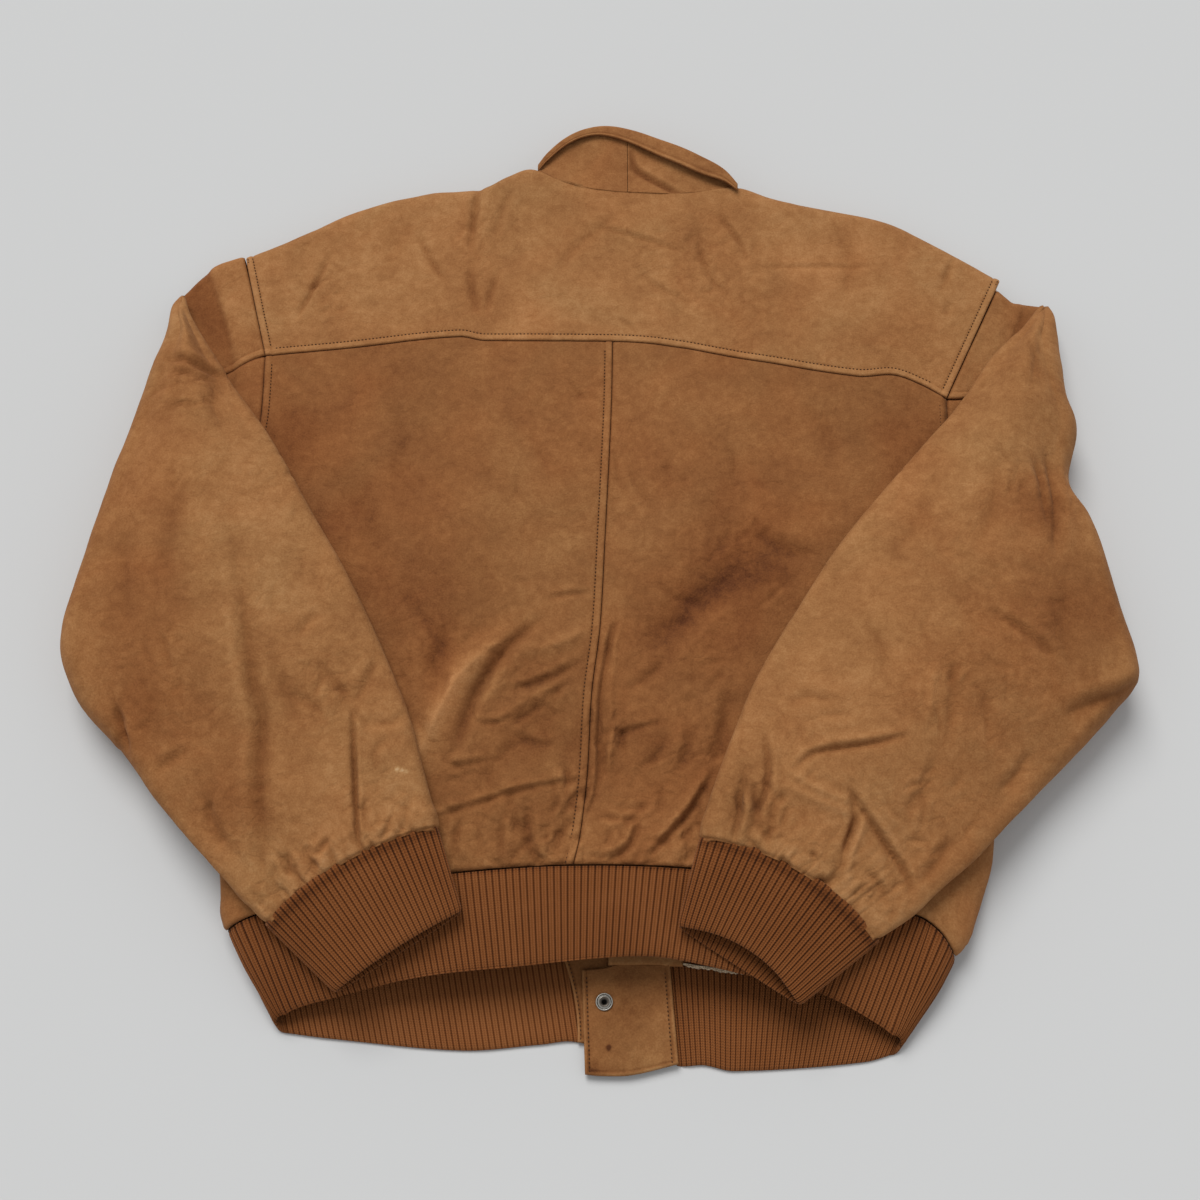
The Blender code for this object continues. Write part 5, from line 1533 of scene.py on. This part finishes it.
def sleeve_surface(stations, cuff):
    """A function of how far round the section and how far down the sleeve a point is."""
    rows = smooth(stations)
    bow_x, bow_y = bow_way(cuff)

    def place(u, t):
        ox, oy, ix, iy, base, outer_high, crown, edge_high, run = rows(t)
        width = np.hypot(ix - ox, iy - oy)
        wx, wy = (ix - ox) / width, (iy - oy) / width
        round_out, round_in = np.minimum(OUTER_RADIUS, 0.4 * width), np.minimum(EDGE_RADIUS, 0.3 * width)

        def spot(distance):
            share = np.clip(distance / width, 0, 1)
            bow = bow_of(cuff, share) * np.maximum(share_of(t, BOW_FROM, 1), 0) ** 2
            return ox + wx * distance + bow_x * bow, oy + wy * distance + bow_y * bow

        inner_base = height(*spot(width - round_in)) + LIE
        inner_high = inner_base + edge_high
        top = share_of(u, TOP_AT, INNER_AT)
        out_turn = pi * (1 - share_of(u, ROLL_AT, TOP_AT))
        in_turn = pi * share_of(u, INNER_AT, TUCK_AT)
        rise = crown - (outer_high + inner_high) / 2
        where = [u < ROLL_AT, u < TOP_AT, u < INNER_AT, u < TUCK_AT]
        distance = np.select(
            where,
            [
                round_out + run * (1 - u / ROLL_AT),
                round_out * (1 - np.sin(out_turn)),
                mix(round_out, width - round_in, top),
                width - round_in + round_in * np.sin(in_turn),
            ],
            width - round_in - share_of(u, TUCK_AT, 1) * np.minimum(TUCK, 0.3 * width),
        )
        x, y = spot(distance)
        on_body = height(x, y) + LIE
        z = np.select(
            where,
            [
                np.where(base > PUFF_EDGE, np.maximum(base, on_body), base),
                base + (outer_high - base) / 2 * (1 + np.cos(out_turn)),
                mix(outer_high, inner_high, top) + rise * np.sin(pi * np.clip(top, 0, 1)) ** 1.15,
                inner_base + edge_high / 2 * (1 + np.cos(in_turn)),
            ],
            np.maximum(on_body, inner_base - 2),
        )
        return at(x, y, z)

    return place


sleeve_suede = suede("sleeve suede", 0.57, 0.0)
turns = (0, ROLL_AT, TOP_AT, INNER_AT, TUCK_AT, 1)
parts = zip(turns, turns[1:], (10, 20, 114, 16, 5))
section = np.append(np.concatenate([np.linspace(*ends, count)[:-1] for *ends, count in parts]), 1)
for word, side, seed in (("left", -1, 61), ("right", 1, 71)):
    surface = sleeve_surface(SLEEVES[word], CUFFS[word])
    down = np.linspace(0, 1, 401)
    edges = np.stack([surface(edge + 0 * down, down) for edge in (TOP_AT, INNER_AT)])
    steps = np.linalg.norm(np.diff(edges, axis=1), axis=-1).max(axis=0)
    closer = np.where(down[1:] > 0.7, 1.3, 1.0)  # rows are closer near the cuff
    reach = np.concatenate([[0], np.cumsum(steps * closer)])
    spread = 1 - np.interp(reach[-1] * (1 - spaced(SLEEVE_LONG, SLEEVE_ROW, (True, False))), reach, down)
    u, v = np.meshgrid(section, spread)
    grid = surface(u, 1 - v)
    x, y = grid[..., 0], grid[..., 1]
    up = part_way(u, ROLL_AT, 0.2) * part_way(1 - u, 1 - TUCK_AT, 0.24)
    lumps = ((1.2, 52), (0.5, 22), (0.14, 9))
    soft = sum(high * uneven(x, y, size, seed + i) for i, (high, size) in enumerate(lumps))
    folds = creased(x, y, SLEEVE_CREASES[word] + crinkled(SLEEVE_CRINKLES[word], seed))
    puckers, pucker_shading = gathered(u * SLEEVE_ROUND, v * SLEEVE_LONG, seed + 3, 1.2)
    lift = up * (soft + folds + puckers)
    tone, warm = toned(x, y, SLEEVE_PATCHES[word])
    # The creases and the puckers add their painted light and shade to the tone.
    tone = tone + rubbed(folds) + pucker_shading
    sleeve = cloth(
        f"leather_sleeve_{word}",
        grid,
        lift,
        tone,
        warm,
        sleeve_suede,
        LEATHER,
        turned=side > 0,
        smoothing=4,
        crumple=crumpled(x, y, SLEEVE_CRINKLES[word]),
    )
    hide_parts(f"sleeve_{word}_front")

# ---------------------------------------------------------------- sleeve heads and under-sleeves
# Between each armhole and the folded sleeve, the sleeve's head lies with a soft valley across it. Below
# the sleeve seam a strip of the under-sleeve shows before it goes under the folded part.
SHOULDERS = {
    "left": {
        "top": [(-291.5, 264.4), (-303, 262), (-321, 254), (-333, 244), (-344, 230)],
        "outward": [(-314, 150), (-325, 192), (-344, 230)],
        "seam": [(-266.6, 167.8), (-278, 164.5), (-290, 159), (-314, 150)],
        "under": [(-270, 76), (-304, 68)],
    },
    "right": {
        "top": [(327.2, 233), (335, 226), (341, 221.5), (352, 221), (364, 219)],
        "outward": [(342, 142), (350, 175), (364, 219)],
        "seam": [(277.8, 129.4), (286, 130), (304, 134), (342, 142)],
        "under": [(283, 42), (330, 36)],
    },
}
VALLEYS = {"left": (0.50, 5.0, 0.5), "right": (0.62, 2.0, 0.14)}  # where across, how deep, how much painted shade
HEAD_WIDE = 52
UNDER_WIDE, UNDER_LONG = 44, 70
CAP_RADIUS = 9.0  # of the roll over the shoulder
CAP_CLEAR = 0.5  # gap beside the yoke's roll
HIDDEN_FROM = 0.8  # the under-sleeves show from this fraction of the panels' length


def hollow(a, where):
    """The valley across a sleeve head: steep on the armhole's side, and soft towards the sleeve."""
    return (0.5 + 0.5 * np.tanh((a - where) / 0.045)) * (1 - 0.5 * np.clip((a - 0.7) / 0.3, 0, 1) ** 2)


head_suede = suede("sleeve head suede", 0.53, 0.1)
under_suede = suede("under-sleeve suede", 0.43, 0.3)
for word, side, seed in (("left", -1, 81), ("right", 1, 85)):
    lines = SHOULDERS[word]
    valley_at, valley_deep, valley_shade = VALLEYS[word]
    top, seam, outward, under = (line_through(lines[key]) for key in ("top", "seam", "outward", "under"))
    corner, far_corner = np.array(lines["seam"][0]), np.array(lines["seam"][-1])
    peak, far_peak = np.array(lines["top"][0]), np.array(lines["top"][-1])
    slope = (peak[0] - corner[0]) / (peak[1] - corner[1])

    rows = joined(0.5, spaced(90, 1.8, (True, False)), np.linspace(0, 1, 22))
    u, v = np.meshgrid(spaced(HEAD_WIDE, 1.7, (True, True)), rows)
    a = 1 - u if side < 0 else u
    reach_up = np.hypot(*(np.array(top(a)) - np.array(seam(a))))
    b = np.minimum(v / 0.5, 1) * (1 - CAP_RADIUS / reach_up)
    armhole_side = [mix(corner[c], peak[c], b) for c in (0, 1)]
    sides = [mix(armhole_side[c], outward(b)[c], a) for c in (0, 1)]
    ends = [mix(seam(a)[c], top(a)[c], b) for c in (0, 1)]
    corners = [mix(mix(corner[c], far_corner[c], a), mix(peak[c], far_peak[c], a), b) for c in (0, 1)]
    x, y = (sides[c] + ends[c] - corners[c] for c in (0, 1))
    valley = hollow(a, valley_at) * (0.4 + 0.6 * np.clip(v / 0.3, 0, 1))
    high = height(x, y) - valley_deep * valley - 3 * a
    x = x + side * CAP_CLEAR * (1 - a) * part_way(v, 0.25, 0.5)
    out, z = rolled(share_of(v, 0.5, 1) * (roll_length(high, CAP_RADIUS) + 6), high, CAP_RADIUS)
    around = at(x + slope * out * (1 - a), y + out, z)
    grid = np.where((v > 0.5)[..., None], around, at(x, y, high))
    ditch, ditch_shade = tucked_seam(a * HEAD_WIDE)
    band, band_shade = turned_seam(v * 180)
    on_top = off_floor(grid[..., 2], 12)
    lift = on_top * (0.9 * uneven(x, y, 26, seed) + 0.3 * uneven(x, y, 10, seed + 1) + ditch + band)
    # The valley is painted darker, as its shade, and redder.
    tone = -valley_shade * valley + ditch_shade + band_shade - 0.1 * uneven(x, y, 20, seed + 2)
    warm = valley_shade * 2 * valley
    head = cloth(f"leather_sleeve_head_{word}", grid, lift, tone, warm, head_suede, LEATHER)
    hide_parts(f"sleeve_{word}_shoulder")

    across, along = spaced(UNDER_WIDE, 2.2, (True, True)), spaced(UNDER_LONG, 2.2, (False, True))
    u, v = np.meshgrid(across, along)
    a = 1 - u if side < 0 else u
    x, y = (mix(under(a)[c], seam(a)[c], v) for c in (0, 1))
    fraction = mix(HIDDEN_FROM, 1, v)
    beside = back_width(fraction)[0 if side < 0 else 2] + side * 0.6
    close = np.clip(1 - 6 * a, 0, 1)
    x = x + close * (beside - mix(lines["under"][0][0], corner[0], v))
    y = y + close * (back_y(0.0 * v + (side > 0), fraction) - mix(lines["under"][0][1], corner[1], v))
    valley = 0.4 * hollow(a, valley_at)
    grid = at(x, y - SEAM * v, height(x, y) - valley_deep * valley - 3 * a)
    ditch, ditch_shade = tucked_seam(a * UNDER_WIDE)
    edge, edge_shade = tucked_seam((1 - v) * UNDER_LONG)
    lift = ditch + edge + 0.5 * uneven(x, y, 18, seed + 3)
    tone = ditch_shade + edge_shade
    strip = cloth(f"leather_under_sleeve_{word}", grid, lift, tone, 0.2, under_suede, LEATHER)
    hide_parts(f"sleeve_{word}_back")

# ---------------------------------------------------------------- cuffs
# Each cuff is a tube of doubled rib, narrower than the leather that is gathered onto it, and flattened
# under its own weight. Its free edge is a fold of the knit.
CUFF_DEEP = 16.0
CUFF_LONG = 62
SWELL = 2.5  # of the upper side near the seam
CUFF_RIB_PITCH = 4.3


def lying(x, y):
    """Height of what a cuff lies on: the back down to its hem seam, then the waistband."""
    seam = hem_seam(x)
    share = part_way(y, seam, waist_edge(x))
    return mix(height(x, np.maximum(y, seam)), mouth(x), share)


for word, side, seed in (("left", -1, 91), ("right", 1, 95)):
    cuff = CUFFS[word]
    bow_x, bow_y = bow_way(cuff)

    def tube(angle, v):
        """A point on the cuff at an angle round it; its upper edge draws back at the middle."""
        wide = np.sign(np.cos(angle)) * np.abs(np.cos(angle)) ** 0.7
        tall = np.sign(np.sin(angle)) * np.abs(np.sin(angle)) ** 0.7
        share = 0.5 - 0.5 * wide
        v = v + cuff["gape"] * 4 * share * (1 - share) * np.maximum(tall, 0) * (1 - v) ** 2
        lines = (np.array(cuff[key]).T for key in ("opening", "seam"))
        low, high = ([mix(*line[c], share) for c in (0, 1)] for line in lines)
        bow = bow_of(cuff, share) * v**2
        x, y = mix(low[0], high[0], v) + bow_x * bow, mix(low[1], high[1], v) + bow_y * bow
        swell = SWELL * np.maximum(tall, 0) * share * (1 - share) * 4 * v**2
        return at(x, y, lying(x, y) + 2 * LIE + CUFF_DEEP / 2 * (1 + tall) + swell)

    angles = np.linspace(0, 2 * pi, 4001)
    ring = tube(angles, 0.5 + 0 * angles)
    round_it = np.concatenate([[0], np.cumsum(np.linalg.norm(np.diff(ring, axis=0), axis=1))])
    ribs = round(round_it[-1] / CUFF_RIB_PITCH)
    rib_at = np.linspace(0, round_it[-1], ribs * len(RIB_PROFILE) + 1)
    along = np.array([0, 0.02, 0.05, 0.1, 0.2, 0.32, 0.44, 0.56, 0.68, 0.8, 0.9, 0.97, 1.01, 1.05])
    u, v = np.meshgrid(np.interp(rib_at, round_it, angles), along)
    grid = tube(u, v)
    profile = ribbed(ribs)
    length = CUFF_LONG * v
    ripple = uneven(rib_at[None], length, 26, seed) * np.sin(u / 2)
    lift = 0.9 * profile * part_way(length, 64, 58) + 0.5 * ripple - 1.3 * hump(length, 1.6)
    # A painted shadow line darkens the rib along its seam, under the sleeve's gathered edge.
    tone = 0.08 * uneven(rib_at[None], length, 40, seed + 1) - 0.4 * hump(60 - length, 3.0)
    piece = cloth(
        f"rib_cuff_{word}",
        grid,
        lift,
        tone,
        0,
        rib_knit,
        RIB,
        turned=side > 0,
        knitted=(rib_at[None] / rib_at[-1] * ribs, length / KNIT_ROW),
        inside=0.6 * profile + 0 * u,
    )
    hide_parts(f"cuff_{word}")

# ---------------------------------------------------------------- collar
# A plain fall collar of two leaves. Its upper leaf stands up at the left and is turned over at the
# right, where its edge shows double. Inside it the two halves of the under-collar meet in a seam.
COLLAR = [  # x, outline y, how far the edge is turned over, height
    (-54, 344, 4, 26),
    (-43, 361, 5, 26),
    (-23, 379, 5, 27),
    (-2, 387, 6, 28),
    (20, 385, 10, 30),
    (53, 371, 14, 32),
    (86, 355, 15, 33),
    (105, 342, 10, 33),
    (118, 325, 3, 32),
]
COLLAR_ENDS = (-50.0, 116.0)
COLLAR_RADIUS = 6.0
COLLAR_CENTRE = 25.0
LEAF_FLOOR, LEAF_ROLL = 1 / 3, 8 / 9  # fractions of its rows, on the floor and up to the turned edge
LEAF_OVER = 12  # length of the turned edge's rows
COLLAR_FOLD = [(2.6, 2.2, 0.9, [(28, 358), (32, 342), (50, 328), (69, 315)])]
collar_line = smooth(COLLAR)
collar_suede = suede("collar suede", 0.50, 0.1)

rows = joined(LEAF_FLOOR / LEAF_ROLL, spaced(95, 4.0), spaced(32, 1.2))
u, v = np.meshgrid(spaced(180, 1.8), joined(LEAF_ROLL, rows, spaced(LEAF_OVER, 1.0)))
x = mix(*COLLAR_ENDS, u)
outline, over, high = collar_line(x)
inner = outline - COLLAR_RADIUS
angle = pi * (1 - share_of(v, LEAF_FLOOR, LEAF_ROLL))
turned_over = share_of(v, LEAF_ROLL, 1)
stages = [v <= LEAF_FLOOR, v <= LEAF_ROLL]
on_ground = mix(front_top(x) + SEAM, inner, v / LEAF_FLOOR)
y = np.select(stages, [on_ground, inner + COLLAR_RADIUS * np.sin(angle)], inner - over * turned_over)
z = np.select(stages, [0.0 * v, high / 2 * (1 + np.cos(angle))], high)
grid = at(x, y, z)
to_edge = (1 - turned_over) * LEAF_OVER
lift = off_floor(z, 12) * (0.5 * uneven(x, y + z, 22, 101) - 0.5 * hump(to_edge - 3.4, 0.9))
# The turned edge is paler, and the stitch line is painted darker, as shade in its ditch.
tone = 0.12 * hump(to_edge, 3) - 0.4 * hump(to_edge - 3.4, 0.7)
upper = cloth("leather_collar_upper", grid, lift, tone, 0, collar_suede, LEATHER, turned=True)
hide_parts("collar_upper")

for word, from_x, to_x in (
    ("left", COLLAR_ENDS[0] + 1.5, COLLAR_CENTRE - SEAM / 2),
    ("right", COLLAR_CENTRE + SEAM / 2, COLLAR_ENDS[1] - 3),
):
    u, v = np.meshgrid(spaced(72, 1.8, (word == "right", word == "left")), spaced(40, 1.8, (True, False)))
    x = mix(from_x, to_x, u)
    outline, _, high = collar_line(x)
    neck = top_edge(x)[0] + 0.2
    up = np.maximum(outline - COLLAR_RADIUS - 1, neck + 2)
    z = mix(height(x, neck), high - LEATHER - 2 * LIE - 0.5, v) - 2 * np.sin(pi * v)
    grid = at(x, mix(neck, up, v), z)
    ridge = hump(x - COLLAR_CENTRE - 1.2, 1.1)
    shade = 0.0
    lift = 0.5 * ridge + 0.6 * uneven(x, grid[..., 1], 20, 105)
    if word == "right":
        fold = creased(x, grid[..., 1], COLLAR_FOLD)
        lift = lift + fold
        shade = rubbed(fold)
    # The tone follows the lift, as painted light and shade.
    tone = 0.08 * lift + shade
    half = cloth(f"leather_under_collar_{word}", grid, lift, tone, 0, collar_suede, LEATHER)
    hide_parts(f"collar_under_{word}")

# ---------------------------------------------------------------- hidden layers
# What the body and the sleeves hide: lining and folded leather, as one rounded solid each, in a plain
# brown twill.
FILLING_SQUARE = 8  # how squarely they fill out, as a power
LEAST_FILLING = 3.0  # thickness at their edges
FILLING_BASE = 3.2  # height of their underside over the floor
BODY_FILLING = (-244, 250)  # x of its sides
BODY_FILLING_LOW = -232
SLEEVE_FILLING = ((0.40, 0.64), (0.94, 0.50))  # fractions round and down the sleeve
LINING_COLOURS = [(0, (0.050, 0.024, 0.012)), (1, (0.105, 0.050, 0.024))]
lining, lining_tree, lining_shader = new_material("brown lining", 0.8, 0.1, (0.6, 0.4, 0.3))
inputs = {0: place_of(lining_tree), "Rotation": (0, 0, radians(45))}
slanted = add(lining_tree, "ShaderNodeMapping", inputs).outputs[0]
inputs = {"Vector": slanted, "Scale": 220.0, "Distortion": 0.4}
twill = add(lining_tree, "ShaderNodeTexWave", inputs).outputs["Fac"]
coloured(lining_tree, lining_shader, twill, LINING_COLOURS)


def filled_out(share):
    return np.maximum(1 - np.abs(2 * share - 1) ** FILLING_SQUARE, 0) ** 0.5


def filling(name, grid, bottom, node):
    """A rounded solid between a grid of points and a height under each."""
    rows, columns = grid.shape[:2]
    bm = bmesh.new()
    bmesh.ops.create_grid(bm, x_segments=columns - 1, y_segments=rows - 1, size=0.5)
    tops = bm.verts[:]
    low = {}
    for vert in tops:
        spot = (round((vert.co.y + 0.5) * (rows - 1)), round((vert.co.x + 0.5) * (columns - 1)))
        vert.co = grid[spot] * MM
        low[(vert.co.x, vert.co.y)] = float(bottom[spot]) * MM
    grown = bmesh.ops.extrude_face_region(bm, geom=bm.faces[:])["geom"]
    for vert in grown:
        if isinstance(vert, bmesh.types.BMVert):
            vert.co.z = low[(vert.co.x, vert.co.y)]
    bmesh.ops.recalc_face_normals(bm, faces=bm.faces[:])
    piece = finished(name, bm, lining)
    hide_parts(node)


u, v = np.meshgrid(np.linspace(0, 1, 41), np.linspace(0, 1, 41))
x = mix(*BODY_FILLING, u)
y = mix(BODY_FILLING_LOW, top_edge(x)[0] - 26, v)
low = 0 * u + FILLING_BASE
full = height(x, y) - 10
z = mix(low + LEAST_FILLING, full, filled_out(u) * filled_out(v))
filling("lining_body", at(x, y, z), low, "inner_body")
for word, side in (("left", -1), ("right", 1)):
    surface = sleeve_surface(SLEEVES[word], CUFFS[word])
    grid = surface(*(mix(*ends, share) for ends, share in zip(SLEEVE_FILLING, (u, v))))
    x, y, z = np.moveaxis(grid, -1, 0)
    fraction = part_way(y, back_y(0.5 + 0.5 * side, 0.0), back_y(0.5 + 0.5 * side, 1.0))
    edge = np.abs(back_width(fraction)[0 if side < 0 else 2])
    low = mix(FILLING_BASE, height(x, y) + 5, part_way(side * x - edge, 40, 12))
    z = np.maximum(mix(low + LEAST_FILLING, z - 9, filled_out(u) * filled_out(v)), low + LEAST_FILLING)
    filling(f"lining_sleeve_{word}", at(x, y, z), low, f"inner_sleeve_{word}")
